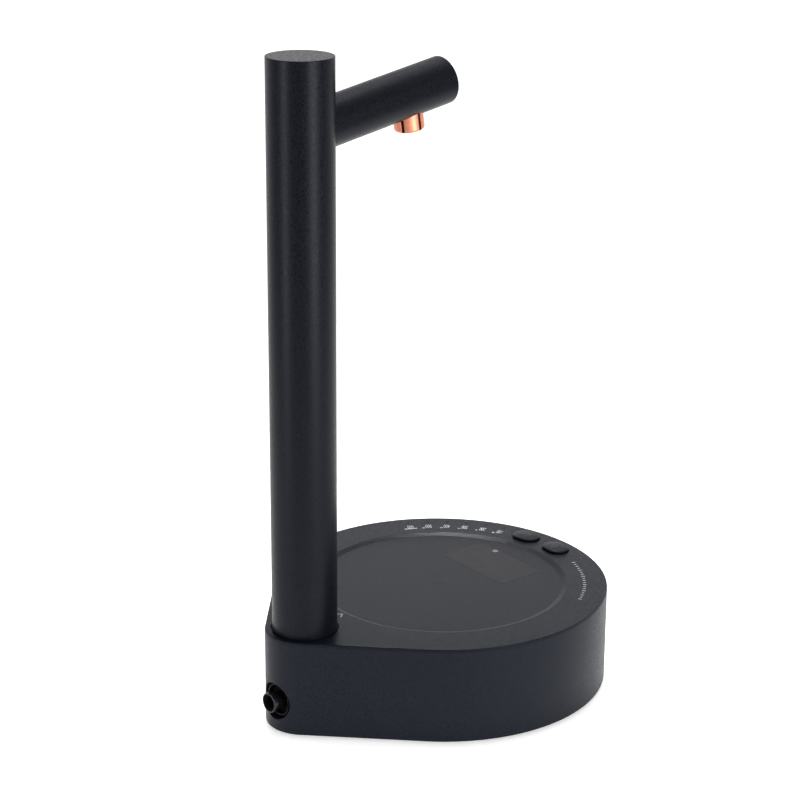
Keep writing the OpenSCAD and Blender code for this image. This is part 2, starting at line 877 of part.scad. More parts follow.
module pump_valve_plate() {
    color(WHITE) placed() along_y(valve_plate_y, pump_z) difference() {
        cylinder(r = pump_r, h = valve_plate_l);
        for (side = [-1, 1]) {
            translate([0, side * port_offset, -over]) cylinder(r = 1.2, h = valve_plate_l + 2 * over);
        }
        for (a = [45 : 90 : 315]) {
            on_ring(pump_screw_ring_r, a) translate([0, 0, -over])
                cylinder(r = pump_screw_r + hole_gap, h = valve_plate_l + 2 * over);
        }
    }
}

module pump_port_cover() {
    color(BLACK) placed() along_y(port_cover_y, pump_z) difference() {
        union() {
            cylinder(r = pump_r, h = port_cover_l);
            for (side = [-1, 1]) {
                translate([0, side * port_offset, 0]) cylinder(r = barb_r, h = port_cover_l + port_barb_l);
            }
        }
        for (side = [-1, 1]) {
            translate([0, side * port_offset, -over])
                cylinder(r = barb_bore_r, h = port_cover_l + port_barb_l + 2 * over);
        }
        for (a = [45 : 90 : 315]) {
            on_ring(pump_screw_ring_r, a) {
                translate([0, 0, -over]) cylinder(r = pump_screw_r + hole_gap, h = port_cover_l + 2 * over);
                translate([0, 0, port_cover_l - 1.6]) cylinder(r = small_head_r + hole_gap, h = 1.6 + over);
            }
        }
    }
}

module pump_screws() {
    color(STEEL) placed() along_y(port_face_y - 0.1, pump_z) for (a = [45 : 90 : 315]) {
        on_ring(pump_screw_ring_r, a) mirror([0, 0, 1])
            screw(pump_screw_r, small_head_r, small_head_h, port_cover_l + valve_plate_l + 8);
    }
}

module pump_cradle() {
    color(BLACK) placed() difference() {
        translate([-cradle_w / 2, cradle_y, floor_top_z])
            cube([cradle_w, cradle_l, cradle_top_z - floor_top_z]);
        along_y(cradle_y - over, pump_z) cylinder(r = cradle_r, h = cradle_l + 2 * over);
        for (side = [-1, 1]) {
            translate([side * (cradle_w / 2 - 3), cradle_y + cradle_l / 2, cradle_top_z - 8])
                cylinder(r = small_screw_r + pilot_gap, h = 8 + over);
        }
    }
}

module pump_damper() {
    color(RUBBER) placed() along_y(cradle_y + (cradle_l - damper_l) / 2, pump_z)
        ring(motor_r + seat_gap + damper_t, motor_r + seat_gap, damper_l);
}

module pump_strap() {
    foot_x = cradle_w / 2 - strap_foot_w;
    strap_y = cradle_y + (cradle_l - strap_l) / 2;
    color(STEEL) placed() difference() {
        union() {
            along_y(strap_y, pump_z) cylinder(r = cradle_r + strap_t, h = strap_l);
            for (side = [0, 1]) {
                mirror([side, 0, 0]) translate([foot_x - 1, strap_y, cradle_top_z])
                    cube([strap_foot_w + 1, strap_l, strap_t]);
            }
        }
        along_y(cradle_y - over, pump_z) cylinder(r = cradle_r, h = cradle_l + 2 * over);
        translate([-cradle_w, cradle_y - over, cradle_top_z - base_h])
            cube([2 * cradle_w, cradle_l + 2 * over, base_h]);
        for (side = [-1, 1]) {
            translate([side * (cradle_w / 2 - 3), cradle_y + cradle_l / 2, cradle_top_z - over])
                cylinder(r = small_screw_r + hole_gap, h = strap_t + 2 * over);
        }
    }
}

module strap_screws() {
    color(STEEL) placed() for (side = [-1, 1]) {
        translate([side * (cradle_w / 2 - 3), cradle_y + cradle_l / 2, cradle_top_z + strap_t + small_head_h])
            mirror([0, 0, 1]) screw(small_screw_r, small_head_r, small_head_h, small_head_h + strap_t + 7);
    }
}

// ---- Inlet ----

module inlet_collar() {
    color(BLACK) placed() along_y(0, inlet_z) difference() {
        union() {
            translate([0, 0, collar_flange_y]) cylinder(r = collar_flange_r, h = collar_flange_l);
            translate([0, 0, collar_flange_y]) cylinder(r = collar_r, h = collar_face_y - collar_flange_y);
        }
        translate([0, 0, collar_flange_y - over])
            cylinder(r = thread_r + seat_gap, h = collar_flange_l + 2 * over);
        translate([0, 0, gasket_y]) cylinder(r = collar_bore_r, h = tail_r);
    }
}

module inlet_nipple() {
    mouth_l = 1.6;
    throat_r = neck_r - 1.1;
    color("#141416") placed() along_y(0, inlet_z) difference() {
        union() {
            translate([0, 0, nipple_tip_y - bead_l]) cylinder(r = bead_r, h = bead_l);
            translate([0, 0, nipple_disc_y]) cylinder(r = neck_r, h = nipple_disc_l + neck_l + 0.1);
            translate([0, 0, nipple_disc_y]) cylinder(r = collar_bore_r - 0.2, h = nipple_disc_l);
            translate([0, 0, nut_y]) cylinder(r = thread_r, h = nipple_disc_y - nut_y + 0.1);
            translate([0, 0, nut_y - inner_barb_l]) cylinder(r = barb_r, h = inner_barb_l + 0.1);
        }
        translate([0, 0, nut_y - inner_barb_l - over])
            cylinder(r = barb_bore_r, h = tail_r + inner_barb_l + tail_y);
        translate([0, 0, nipple_disc_y]) cylinder(r = throat_r, h = tail_y);
        translate([0, 0, nipple_tip_y - mouth_l])
            cylinder(r1 = throat_r, r2 = bead_r - 0.7, h = mouth_l);
        translate([0, 0, nipple_tip_y]) cylinder(r = bead_r - 0.7, h = over);
    }
}

module inlet_gasket() {
    color(RUBBER) placed() along_y(gasket_y, inlet_z)
        ring(collar_bore_r - 0.3, thread_r + seat_gap, gasket_l);
}

module inlet_nut() {
    color("#8c6f3f") placed() along_y(nut_y, inlet_z) difference() {
        cylinder(d = nut_flat / cos(30), h = nut_l, $fn = 6);
        translate([0, 0, -over]) cylinder(r = thread_r + run_gap, h = nut_l + 2 * over);
    }
}

module inlet_hose() {
    color(WHITE) placed() along_y(inlet_hose_y[0], inlet_z)
        ring(hose_r, hose_bore_r, inlet_hose_y[1] - inlet_hose_y[0]);
}

module outlet_hose() {
    color(WHITE) placed() along_y(outlet_hose_y[0], outlet_z)
        ring(hose_r, hose_bore_r, outlet_hose_y[1] - outlet_hose_y[0]);
}

module hose_clips() {
    inlet_places = [inlet_hose_y[0] + 2, inlet_hose_y[1] - 2 - clip_l];
    outlet_places = [outlet_hose_y[0] + 2, outlet_hose_y[1] - 2 - clip_l];
    color(STEEL) placed() {
        for (y = inlet_places) along_y(y, inlet_z) ring(hose_r + clip_t, hose_r, clip_l);
        for (y = outlet_places) along_y(y, outlet_z) ring(hose_r + clip_t, hose_r, clip_l);
    }
}

module outlet_port() {
    color("#c9c9c4") placed() at_column() difference() {
        union() {
            translate([0, 0, socket_z - port_flange_t]) cylinder(r = socket_r - 0.2, h = port_flange_t);
            translate([0, 0, socket_z - port_flange_t])
                cylinder(r = port_r, h = port_top_z - socket_z + port_flange_t);
            translate([0, 0, outlet_z]) rotate([90, 0, 0])
                cylinder(r = barb_r, h = column_reach - port_barb_end_y);
        }
        translate([0, 0, port_well_z]) cylinder(r = port_bore_r, h = port_top_z - port_well_z + over);
        translate([0, 0, outlet_z]) rotate([90, 0, 0])
            cylinder(r = barb_bore_r, h = column_reach - port_barb_end_y + over);
        for (side = [-1, 1]) {
            translate([side * port_screw_at, 0, socket_z - port_flange_t - over])
                cylinder(r = port_screw_r + hole_gap, h = port_flange_t + 2 * over);
        }
    }
}

module port_screws() {
    color(STEEL) placed() at_column() for (side = [-1, 1]) {
        translate([side * port_screw_at, 0, socket_z - port_flange_t - small_head_h])
            screw(port_screw_r, small_head_r, small_head_h, small_head_h + port_flange_t + port_thread_l);
    }
}

// ---- Column and spout ----

module column_tube() {
    color(SATIN) placed() difference() {
        at_column() difference() {
            translate([0, 0, seam_z]) cylinder(r = column_r, h = column_top_z - cap_t - seam_z);
            translate([0, 0, seam_z - over]) cylinder(r = column_bore_r, h = column_h + deck_edge_h);
        }
        in_spout() cylinder(r = coupling_neck_r, h = 2 * column_r);
    }
}

module column_cap() {
    color(SATIN) placed() at_column() {
        translate([0, 0, column_top_z - cap_t]) cylinder(r = column_r, h = cap_t);
        translate([0, 0, column_top_z - cap_t - cap_plug_l])
            cylinder(r = column_bore_r - seat_gap, h = cap_plug_l + 0.1);
    }
}

module column_foot() {
    pocket_floor = 3;
    pocket_wall = 2.5;
    color(BLACK) placed() at_column() difference() {
        union() {
            translate([0, 0, seam_z]) cylinder(r = column_bore_r - seat_gap, h = foot_plug_l);
            translate([0, 0, nose_top_z + 0.2]) cylinder(r = plug_r, h = seam_z - nose_top_z);
            translate([0, 0, plug_floor_z]) cylinder(r = nose_r, h = nose_l + 1);
            translate([0, 0, seam_z + foot_plug_l - 0.1]) cylinder(r = barb_r, h = foot_barb_l + 0.1);
            translate([-key_w / 2, -plug_r - key_out, nose_top_z + 1])
                cube([key_w, key_out + 1, seam_z - nose_top_z - 0.9]);
        }
        translate([0, 0, plug_floor_z - over])
            cylinder(r = barb_bore_r, h = plug_depth + foot_plug_l + foot_barb_l + 2 * over);
        translate([0, 0, seal_z]) torus(seal_mid_r, seal_r + 0.02);
        translate([0, 0, seam_z + pocket_floor])
            ring(column_bore_r - pocket_wall, barb_r + pocket_wall, foot_plug_l);
    }
}

module foot_seal() {
    color(RUBBER) placed() at_column() translate([0, 0, seal_z]) torus(seal_mid_r, seal_r);
}

module riser_hose() {
    low_z = seam_z + foot_plug_l + foot_barb_l - hose_grip;
    high_z = spout_z - elbow_low_l + hose_grip - 1;
    color(WHITE) placed() at_column() translate([0, 0, low_z]) ring(hose_r, hose_bore_r, high_z - low_z);
}

// Elbow inside the column that turns the water from the riser into the spout
module riser_elbow() {
    color(BLACK) placed() difference() {
        union() {
            at_column() translate([0, 0, spout_z - elbow_low_l]) cylinder(r = barb_r, h = elbow_low_l);
            at_column() translate([0, 0, spout_z - elbow_hub_l / 2])
                cylinder(r = elbow_hub_r, h = elbow_hub_l);
            in_spout() cylinder(r = barb_r, h = elbow_out_l);
        }
        at_column() translate([0, 0, spout_z - elbow_low_l - over])
            cylinder(r = barb_bore_r, h = elbow_low_l + over);
        in_spout() cylinder(r = barb_bore_r, h = elbow_out_l + over);
    }
}

module spout_coupling() {
    color(STEEL) placed() in_spout() difference() {
        union() {
            translate([0, 0, column_bore_r])
                cylinder(r = coupling_neck_r - seat_gap, h = coupling_collar_at - column_bore_r + 0.1);
            translate([0, 0, coupling_collar_at])
                cylinder(r = spout_bore_r - seat_gap, h = coupling_collar_l);
        }
        translate([0, 0, column_bore_r - over]) cylinder(r = coupling_bore_r, h = spout_reach);
    }
}

module spout_tube() {
    color(SATIN) placed() difference() {
        in_spout() cylinder(r = spout_r, h = spout_reach - cap_t);
        in_spout() translate([0, 0, -over]) cylinder(r = spout_bore_r, h = spout_reach);
        at_column() cylinder(r = column_r, h = column_top_z);
        in_nozzle() cylinder(r = nozzle_d / 2 + seat_gap, h = spout_d);
    }
}

module spout_cap() {
    color(SATIN) placed() in_spout() {
        translate([0, 0, spout_reach - cap_t]) cylinder(r = spout_r, h = cap_t);
        translate([0, 0, spout_reach - cap_t - cap_plug_l])
            cylinder(r = spout_bore_r - seat_gap, h = cap_plug_l + 0.1);
    }
}

module spout_hose() {
    hose_from = elbow_out_l - hose_grip;
    hose_to = nozzle_at - nozzle_elbow_l + hose_grip;
    color(WHITE) placed() in_spout() translate([0, 0, hose_from])
        ring(hose_r, hose_bore_r, hose_to - hose_from);
}

// Elbow inside the spout that turns the water down into the nozzle
module nozzle_elbow() {
    seat_l = 6.5;
    crown_l = 4;
    color(BLACK) placed() difference() {
        union() {
            in_nozzle() translate([0, 0, -crown_l])
                cylinder(r = nozzle_bore_d / 2 - seat_gap, h = crown_l + seat_l);
            in_spout() translate([0, 0, nozzle_at - nozzle_elbow_l]) cylinder(r = barb_r, h = nozzle_elbow_l);
        }
        in_nozzle() cylinder(r = barb_bore_r, h = seat_l + over);
        in_spout() translate([0, 0, nozzle_at - nozzle_elbow_l - over])
            cylinder(r = barb_bore_r, h = nozzle_elbow_l + over);
    }
}

module nozzle() {
    lip = 1.3;
    top = 3.5;
    groove_from = 5;
    outer = nozzle_d / 2;
    bore = nozzle_bore_d / 2;
    color(COPPER) placed() in_nozzle() difference() {
        rotate_extrude() difference() {
            union() {
                translate([bore, top]) square([outer - bore, nozzle_lip - lip - top]);
                translate([bore, top]) square([outer - bore - lip, nozzle_lip - top]);
                translate([outer - lip, nozzle_lip - lip]) circle(r = lip, $fn = 48);
            }
            translate([bore - 5, top - over]) square([5, nozzle_lip]);
        }
        for (i = [0 : groove_count - 1]) {
            on_ring(outer - groove_depth, groove_start + i * 360 / groove_count)
                translate([0, -groove_w / 2, groove_from]) cube([groove_depth + over, groove_w, nozzle_lip]);
        }
    }
}

module nozzle_insert() {
    insert_z = 7;
    insert_l = 7;
    color(RUBBER) placed() in_nozzle() difference() {
        translate([0, 0, insert_z]) cylinder(r = nozzle_bore_d / 2 - run_gap, h = insert_l);
        translate([0, 0, insert_z - over]) cylinder(r = 1.1, h = insert_l + 2 * over);
        for (a = [0 : 60 : 300]) {
            on_ring(3.1, a) translate([0, 0, insert_z - over]) cylinder(r = 0.8, h = insert_l + 2 * over);
        }
    }
}

base_shell();
top_cover();
bottom_cover();
rubber_feet();
case_screws();
tray_film();
power_button();
flow_button();
power_plunger();
flow_plunger();
tact_switches();
key_board();
key_board_screws();
status_leds();
light_guide();
battery_cell();
battery_holder();
battery_contacts();
main_board();
main_board_screws();
board_components();
usb_socket();
motor_can();
motor_magnets();
motor_end_cap();
motor_bushes();
motor_rotor();
pump_housing();
pump_eccentric();
pump_diaphragm();
pump_valve_plate();
pump_port_cover();
pump_screws();
pump_cradle();
pump_damper();
pump_strap();
strap_screws();
inlet_collar();
inlet_nipple();
inlet_gasket();
inlet_nut();
inlet_hose();
outlet_hose();
hose_clips();
outlet_port();
port_screws();
column_tube();
column_cap();
column_foot();
foot_seal();
riser_hose();
riser_elbow();
spout_coupling();
spout_tube();
spout_cap();
spout_hose();
nozzle_elbow();
nozzle();
nozzle_insert();
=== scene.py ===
"""The looks of the countertop water dispenser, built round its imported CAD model.

Metres, +Z up, the user at -Y and the column at +Y. The outer shells are rebuilt here with rounded
edges on the CAD's own sizes; everything inside stays a CAD piece and gets a material.
"""

import json
import math

import bmesh
import bpy
from mathutils import Matrix, Vector


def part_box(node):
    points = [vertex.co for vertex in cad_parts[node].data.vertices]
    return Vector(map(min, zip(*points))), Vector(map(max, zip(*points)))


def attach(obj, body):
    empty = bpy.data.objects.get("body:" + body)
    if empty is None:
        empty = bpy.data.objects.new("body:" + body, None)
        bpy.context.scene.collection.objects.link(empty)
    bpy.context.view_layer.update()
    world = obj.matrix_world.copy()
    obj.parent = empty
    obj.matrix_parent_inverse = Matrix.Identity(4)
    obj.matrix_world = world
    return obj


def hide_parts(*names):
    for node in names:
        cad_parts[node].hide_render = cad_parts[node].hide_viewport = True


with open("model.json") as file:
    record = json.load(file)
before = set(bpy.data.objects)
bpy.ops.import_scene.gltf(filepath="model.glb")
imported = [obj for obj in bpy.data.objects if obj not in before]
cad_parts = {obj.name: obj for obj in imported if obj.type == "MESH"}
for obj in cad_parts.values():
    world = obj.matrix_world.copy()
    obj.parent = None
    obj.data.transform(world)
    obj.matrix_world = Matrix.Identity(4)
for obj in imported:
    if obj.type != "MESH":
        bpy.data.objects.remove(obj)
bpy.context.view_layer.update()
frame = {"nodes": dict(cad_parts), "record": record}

MM = 0.001
UP = Vector((0, 0, 1))

# ---- Sizes read from the CAD model ----


def span(node, direction):
    """Lowest and highest reach of a CAD node along a direction."""
    reach = [v.co.dot(direction) for v in frame["nodes"][node].data.vertices]
    return min(reach), max(reach)


def middle(node, direction):
    """Half-way between a CAD node's lowest and highest reach along a direction."""
    low, high = span(node, direction)
    return (low + high) / 2


def mount(name):
    """A mount's place and axis."""
    row = next(m for m in frame["record"]["mounts"] if m["name"] == name)
    return Vector(row["pos_m"]), Vector(row["axis"])


def ring_radius(node, centre, level, least, most):
    """Radius of the ring of vertices that a CAD node has round a centre at one level."""
    flat = [
        (v.co.xy - centre.xy).length
        for v in frame["nodes"][node].data.vertices
        if abs(v.co.z - level) < 0.01 * MM
    ]
    return min(r for r in flat if least < r < most)


shell_low, shell_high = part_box("base_shell")
cover_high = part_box("top_cover")[1]
cap_low, cap_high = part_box("column_cap")
BASE_R = (shell_high.x - shell_low.x) / 2
TRAY = Vector((0, shell_low.y + BASE_R, 0))
COLUMN = Vector((0, (cap_low.y + cap_high.y) / 2, 0))
COLUMN_R = (cap_high.x - cap_low.x) / 2
COLUMN_TOP = cap_high.z
REACH = COLUMN.y - TRAY.y
TAIL_R = shell_high.y - COLUMN.y
FLANK = math.asin((BASE_R - TAIL_R) / REACH)

CASE_Z = shell_low.z
SEAM_Z = shell_high.z
DECK_Z = cover_high.z
TRAY_Z = mount("tray_seat")[0].z
WALL = 2.5 * MM
COVER_GAP = 0.3 * MM
DECK_T = 2.5 * MM
DECK_UNDER = DECK_Z - DECK_T
TRAY_FLOOR_T = 2 * MM
TRAY_R = ring_radius("top_cover", TRAY, DECK_Z, 0, 0.85 * BASE_R)
TRAY_FOOT_R = ring_radius("top_cover", TRAY, TRAY_Z, 0.9 * TRAY_R, TRAY_R)
RECESS_R = ring_radius("top_cover", COLUMN, SEAM_Z, COLUMN_R, TAIL_R)

nozzle_axis = mount("nozzle_outlet")[1]
SPOUT_DIR = Vector((0, nozzle_axis.z, -nozzle_axis.y))
SPOUT_UP = -nozzle_axis
SPOUT_R = (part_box("spout_cap")[1].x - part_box("spout_cap")[0].x) / 2
spout_level = middle("spout_cap", SPOUT_UP)
SPOUT_START = Vector((0, COLUMN.y, (spout_level - SPOUT_UP.y * COLUMN.y) / SPOUT_UP.z))
SPOUT_REACH = span("spout_cap", SPOUT_DIR)[1] - SPOUT_START.dot(SPOUT_DIR)
TUBE_WALL = 1.2 * MM
CAP_T = 1.5 * MM

inlet_low, inlet_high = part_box("inlet_nipple")
INLET_Z = (inlet_low.z + inlet_high.z) / 2
INLET_TIP = inlet_high.y
INLET_HOLE_R = 9.6 * MM

BUTTONS = {"power": "power_button", "flow": "flow_button"}
BUTTON_L = 15.4 * MM
BUTTON_W = 12.2 * MM
BUTTON_GAP = 0.3 * MM
BUTTON_RING = 75.85 * MM
BUTTON_ANGLES = {"power": -80.6, "flow": -97.4}

LIGHT_COUNT = 6
LIGHT_RING = BASE_R - 6.6 * MM
LIGHT_START = -29.3
LIGHT_PITCH = 7.8
LIGHT_HOLE_R = 0.6 * MM

# ---- Mesh helpers ----

FINE = 192


def turned(angle):
    """Unit vector at an angle in degrees round +Z."""
    return Vector((math.cos(math.radians(angle)), math.sin(math.radians(angle)), 0))


def fillet(corners, steps=6, closed=False):
    """Rounds the corners of a flat outline. Each corner is (x, y) or (x, y, radius)."""
    points = []
    count = len(corners)
    for i, corner in enumerate(corners):
        here = Vector(corner[:2])
        radius = corner[2] if len(corner) > 2 else 0
        ended = not closed and i in (0, count - 1)
        if radius == 0 or ended:
            points.append(here)
            continue
        back = (Vector(corners[i - 1][:2]) - here).normalized()
        on = (Vector(corners[(i + 1) % count][:2]) - here).normalized()
        half = back.angle(on) / 2
        centre = here + (back + on).normalized() * (radius / math.sin(half))
        start = here + back * (radius / math.tan(half)) - centre
        end = here + on * (radius / math.tan(half)) - centre
        turn = start.angle_signed(end)
        for k in range(steps + 1):
            arc = Matrix.Rotation(-turn * k / steps, 2) @ start
            points.append(centre + arc)
    return points


def ring(bm, points):
    """A loop of new vertices."""
    return [bm.verts.new(p) for p in points]


def circle(centre, radius, z, segments=FINE):
    """Points round a centre at a level."""
    return [
        Vector((centre.x, centre.y, z)) + radius * turned(360 * k / segments)
        for k in range(segments)
    ]


def skin(bm, rings, closed=False):
    """Faces between loops of the same length, and back to the first loop if closed."""
    pairs = list(zip(rings, rings[1:]))
    if closed:
        pairs.append((rings[-1], rings[0]))
    for low, high in pairs:
        for k in range(len(low)):
            n = (k + 1) % len(low)
            bm.faces.new((low[k], low[n], high[n], high[k]))


def fill(bm, loops):
    """Fills the flat region between an outline and the holes in it."""
    edges = []
    for loop in loops:
        for k, vert in enumerate(loop):
            other = loop[(k + 1) % len(loop)]
            edges.append(bm.edges.get((vert, other)) or bm.edges.new((vert, other)))
    bmesh.ops.triangle_fill(bm, use_beauty=True, use_dissolve=False, edges=edges)


def revolve(profile, place=Matrix.Identity(4), segments=FINE, closed=False):
    """A turned solid: the profile's (radius, height) points round the place's Z axis."""
    bm = bmesh.new()
    rings = []
    for radius, height in profile:
        if radius < 1e-9:
            rings.append([bm.verts.new((0, 0, height))])
        else:
            rings.append(ring(bm, circle(Vector((0, 0, 0)), radius, height, segments)))
    pairs = list(zip(rings, rings[1:]))
    if closed:
        pairs.append((rings[-1], rings[0]))
    for low, high in pairs:
        for k in range(segments):
            n = (k + 1) % segments
            corners = [low[k % len(low)], low[n % len(low)]]
            corners += [high[n % len(high)], high[k % len(high)]]
            bm.faces.new(list(dict.fromkeys(corners)))
    bmesh.ops.recalc_face_normals(bm, faces=bm.faces)
    bm.transform(place)
    return bm


def box_mesh(low, high, place=Matrix.Identity(4)):
    """A plain block, used only to cut or extend another mesh."""
    bm = bmesh.new()
    bmesh.ops.create_cube(bm, size=1)
    size = Vector(high) - Vector(low)
    bm.transform(place @ Matrix.Translation(Vector(low) + size / 2) @ Matrix.Diagonal((*size, 1)))
    return bm


def loose_object(bm, name="work"):
    """A mesh object made from a bmesh, which is used up."""
    mesh = bpy.data.meshes.new(name)
    bm.to_mesh(mesh)
    bm.free()
    made = bpy.data.objects.new(name, mesh)
    bpy.context.scene.collection.objects.link(made)
    return made


def combine(bm, tools, operation):
    """Adds the tools to a mesh, or cuts them from it, with an exact boolean."""
    base = loose_object(bm)
    helpers = [loose_object(tool) for tool in tools]
    for helper in helpers:
        step = base.modifiers.new("step", "BOOLEAN")
        step.object = helper
        step.operation = operation
        step.solver = "EXACT"
    graph = bpy.context.evaluated_depsgraph_get()
    result = bmesh.new()
    result.from_mesh(base.evaluated_get(graph).data)
    for used in [base] + helpers:
        mesh = used.data
        bpy.data.objects.remove(used)
        bpy.data.meshes.remove(mesh)
    bmesh.ops.remove_doubles(result, verts=result.verts, dist=1e-7)
    bmesh.ops.dissolve_degenerate(result, edges=result.edges, dist=1e-7)
    return result


def basis(origin, x_axis, z_axis):
    """A right-handed frame with its Z along z_axis."""
    z = Vector(z_axis).normalized()
    x = Vector(x_axis).normalized()
    y = z.cross(x)
    rows = Matrix((x, y, z)).transposed().to_4x4()
    return Matrix.Translation(origin) @ rows


def piece(bm, name, body, material, nodes=(), sharp=32, weighted=True):
    """Makes a mesh into a shown piece that rides on a body and stands for CAD nodes."""
    made = loose_object(bm, name)
    materials = material if isinstance(material, (list, tuple)) else [material]
    for one in materials:
        made.data.materials.append(one)
    made.data.shade_smooth()
    made.data.set_sharp_from_angle(angle=math.radians(sharp))
    if weighted:
        normals = made.modifiers.new("normals", "WEIGHTED_NORMAL")
        normals.keep_sharp = True
    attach(made, body)
    if nodes:
        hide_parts(*nodes)
    return made


# ---- Materials ----


class Surface:
    """A material with one Principled shader and a few procedural layers."""

    def __init__(self, name, color, roughness, metallic=0.0, ior=1.5):
        self.material = bpy.data.materials.new(name)
        self.material.use_nodes = True
        self.tree = self.material.node_tree
        self.shader = self.tree.nodes["Principled BSDF"]
        self.color = color
        self.roughness = roughness
        self.shader.inputs["Base Color"].default_value = (*color, 1)
        self.shader.inputs["Roughness"].default_value = roughness
        self.shader.inputs["Metallic"].default_value = metallic
        self.shader.inputs["IOR"].default_value = ior
        self.where = self.add("ShaderNodeTexCoord").outputs["Object"]
        self.last_bump = None

    def add(self, kind, **settings):
        node = self.tree.nodes.new(kind)
        for key, value in settings.items():
            setattr(node, key, value)
        return node

    def link(self, source, target):
        self.tree.links.new(source, target)

    def noise(self, size, detail=2.0, stretch=(1, 1, 1)):
        """Noise with features about this many metres across."""
        source = self.where
        if stretch != (1, 1, 1):
            mapping = self.add("ShaderNodeMapping")
            mapping.inputs["Scale"].default_value = stretch
            self.link(self.where, mapping.inputs["Vector"])
            source = mapping.outputs["Vector"]
        node = self.add("ShaderNodeTexNoise")
        node.inputs["Scale"].default_value = 1 / size
        node.inputs["Detail"].default_value = detail
        self.link(source, node.inputs["Vector"])
        return node.outputs["Fac"]

    def spread(self, source, low, high, from_low=0.3, from_high=0.7):
        """Maps a 0 to 1 texture on to a range."""
        node = self.add("ShaderNodeMapRange")
        node.inputs["From Min"].default_value = from_low
        node.inputs["From Max"].default_value = from_high
        node.inputs["To Min"].default_value = low
        node.inputs["To Max"].default_value = high
        self.link(source, node.inputs["Value"])
        return node.outputs["Result"]

    def mottle(self, size, amount, detail=3.0, stretch=(1, 1, 1)):
        """Varies the colour's brightness a little from place to place."""
        fac = self.spread(self.noise(size, detail, stretch), 0, 1)
        mix = self.add("ShaderNodeMix", data_type="RGBA")
        darker = [c * (1 - amount) for c in self.color]
        lighter = [min(1, c * (1 + amount)) for c in self.color]
        self.link(fac, mix.inputs["Factor"])
        mix.inputs["A"].default_value = (*darker, 1)
        mix.inputs["B"].default_value = (*lighter, 1)
        self.link(mix.outputs["Result"], self.shader.inputs["Base Color"])
        return self

    def two_tone(self, fac, other):
        """Mixes the colour with another one by a texture."""
        mix = self.add("ShaderNodeMix", data_type="RGBA")
        self.link(fac, mix.inputs["Factor"])
        mix.inputs["A"].default_value = (*self.color, 1)
        mix.inputs["B"].default_value = (*other, 1)
        self.link(mix.outputs["Result"], self.shader.inputs["Base Color"])
        return self

    def gloss(self, size, amount, detail=3.0, stretch=(1, 1, 1)):
        """Varies the roughness from place to place."""
        low = self.roughness * (1 - amount)
        high = min(1, self.roughness * (1 + amount))
        fac = self.spread(self.noise(size, detail, stretch), low, high)
        self.link(fac, self.shader.inputs["Roughness"])
        return self

    def bump(self, size, depth, strength=1.0, detail=2.0, stretch=(1, 1, 1), source=None):
        """Fine relief of a depth in metres."""
        node = self.add("ShaderNodeBump")
        node.inputs["Strength"].default_value = strength
        node.inputs["Distance"].default_value = depth
        self.link(source or self.noise(size, detail, stretch), node.inputs["Height"])
        if self.last_bump:
            self.link(self.last_bump, node.inputs["Normal"])
        self.last_bump = node.outputs["Normal"]
        self.link(self.last_bump, self.shader.inputs["Normal"])
        return self

    def set(self, **values):
        """Sets the shader's own sockets; an underscore in a name stands for a space."""
        for key, value in values.items():
            self.shader.inputs[key.replace("_", " ")].default_value = value
        return self


PAINT_IOR = 1.23
# Bluish tint on the paints' reflections: painted light colour, standing in for the bluish cast of
# the light.
SHEEN = (0.84, 0.90, 1.0, 1)


def powder_coat(name, color, roughness, grain):
    """Fine-textured black paint: a close grain with slightly glossier peaks."""
    made = Surface(name, color, roughness, ior=PAINT_IOR)
    made.mottle(0.8 * MM, 0.45, detail=3)
    made.gloss(0.8 * MM, 0.3)
    made.bump(0.8 * MM, grain, detail=3)
    made.bump(14 * MM, 0.015 * MM, detail=1)
    # The reflections are tinted bluish: painted light colour.
    made.set(Specular_Tint=SHEEN)
    return made


# Shell and column wear one blue-black powder coat; the column's base colour is set darker than the
# shell's to match how the light falls on each, so the step between the two is painted shade.
shell_paint = powder_coat("shell_paint", (0.0066, 0.0078, 0.0128), 0.425, 0.045 * MM).material
cover_paint = powder_coat("cover_paint", (0.0040, 0.0048, 0.0086), 0.40, 0.030 * MM).material
column_paint = powder_coat("column_paint", (0.0040, 0.0047, 0.0078), 0.375, 0.034 * MM).material
button_plastic = powder_coat("button_plastic", (0.0048, 0.0056, 0.0088), 0.40, 0.020 * MM).material

black_plastic = (
    Surface("black_plastic", (0.018, 0.018, 0.019), 0.5)
    .mottle(0.8 * MM, 0.25)
    .gloss(2 * MM, 0.15)
    .bump(0.3 * MM, 0.01 * MM)
    .material
)
# Near-black, dull copy of the button plastic for the buttons' sides and flange: painted shade for
# the dark gap round each button.
button_wall_painted_shade = (
    Surface("button_wall_painted_shade", (0.0025, 0.0025, 0.0035), 0.5, ior=1.15)
    .mottle(0.8 * MM, 0.3)
    .gloss(1 * MM, 0.2)
    .bump(0.5 * MM, 0.01 * MM)
    .material
)
# Brighter, glossier copy of the inlet plastic for the collar's inner front edge: a painted
# highlight for its faint light ring.
collar_painted_highlight = (
    Surface("collar_painted_highlight", (0.009, 0.008, 0.010), 0.42, ior=1.32)
    .mottle(0.8 * MM, 0.25)
    .gloss(2 * MM, 0.15)
    .bump(0.3 * MM, 0.01 * MM)
    .material
)
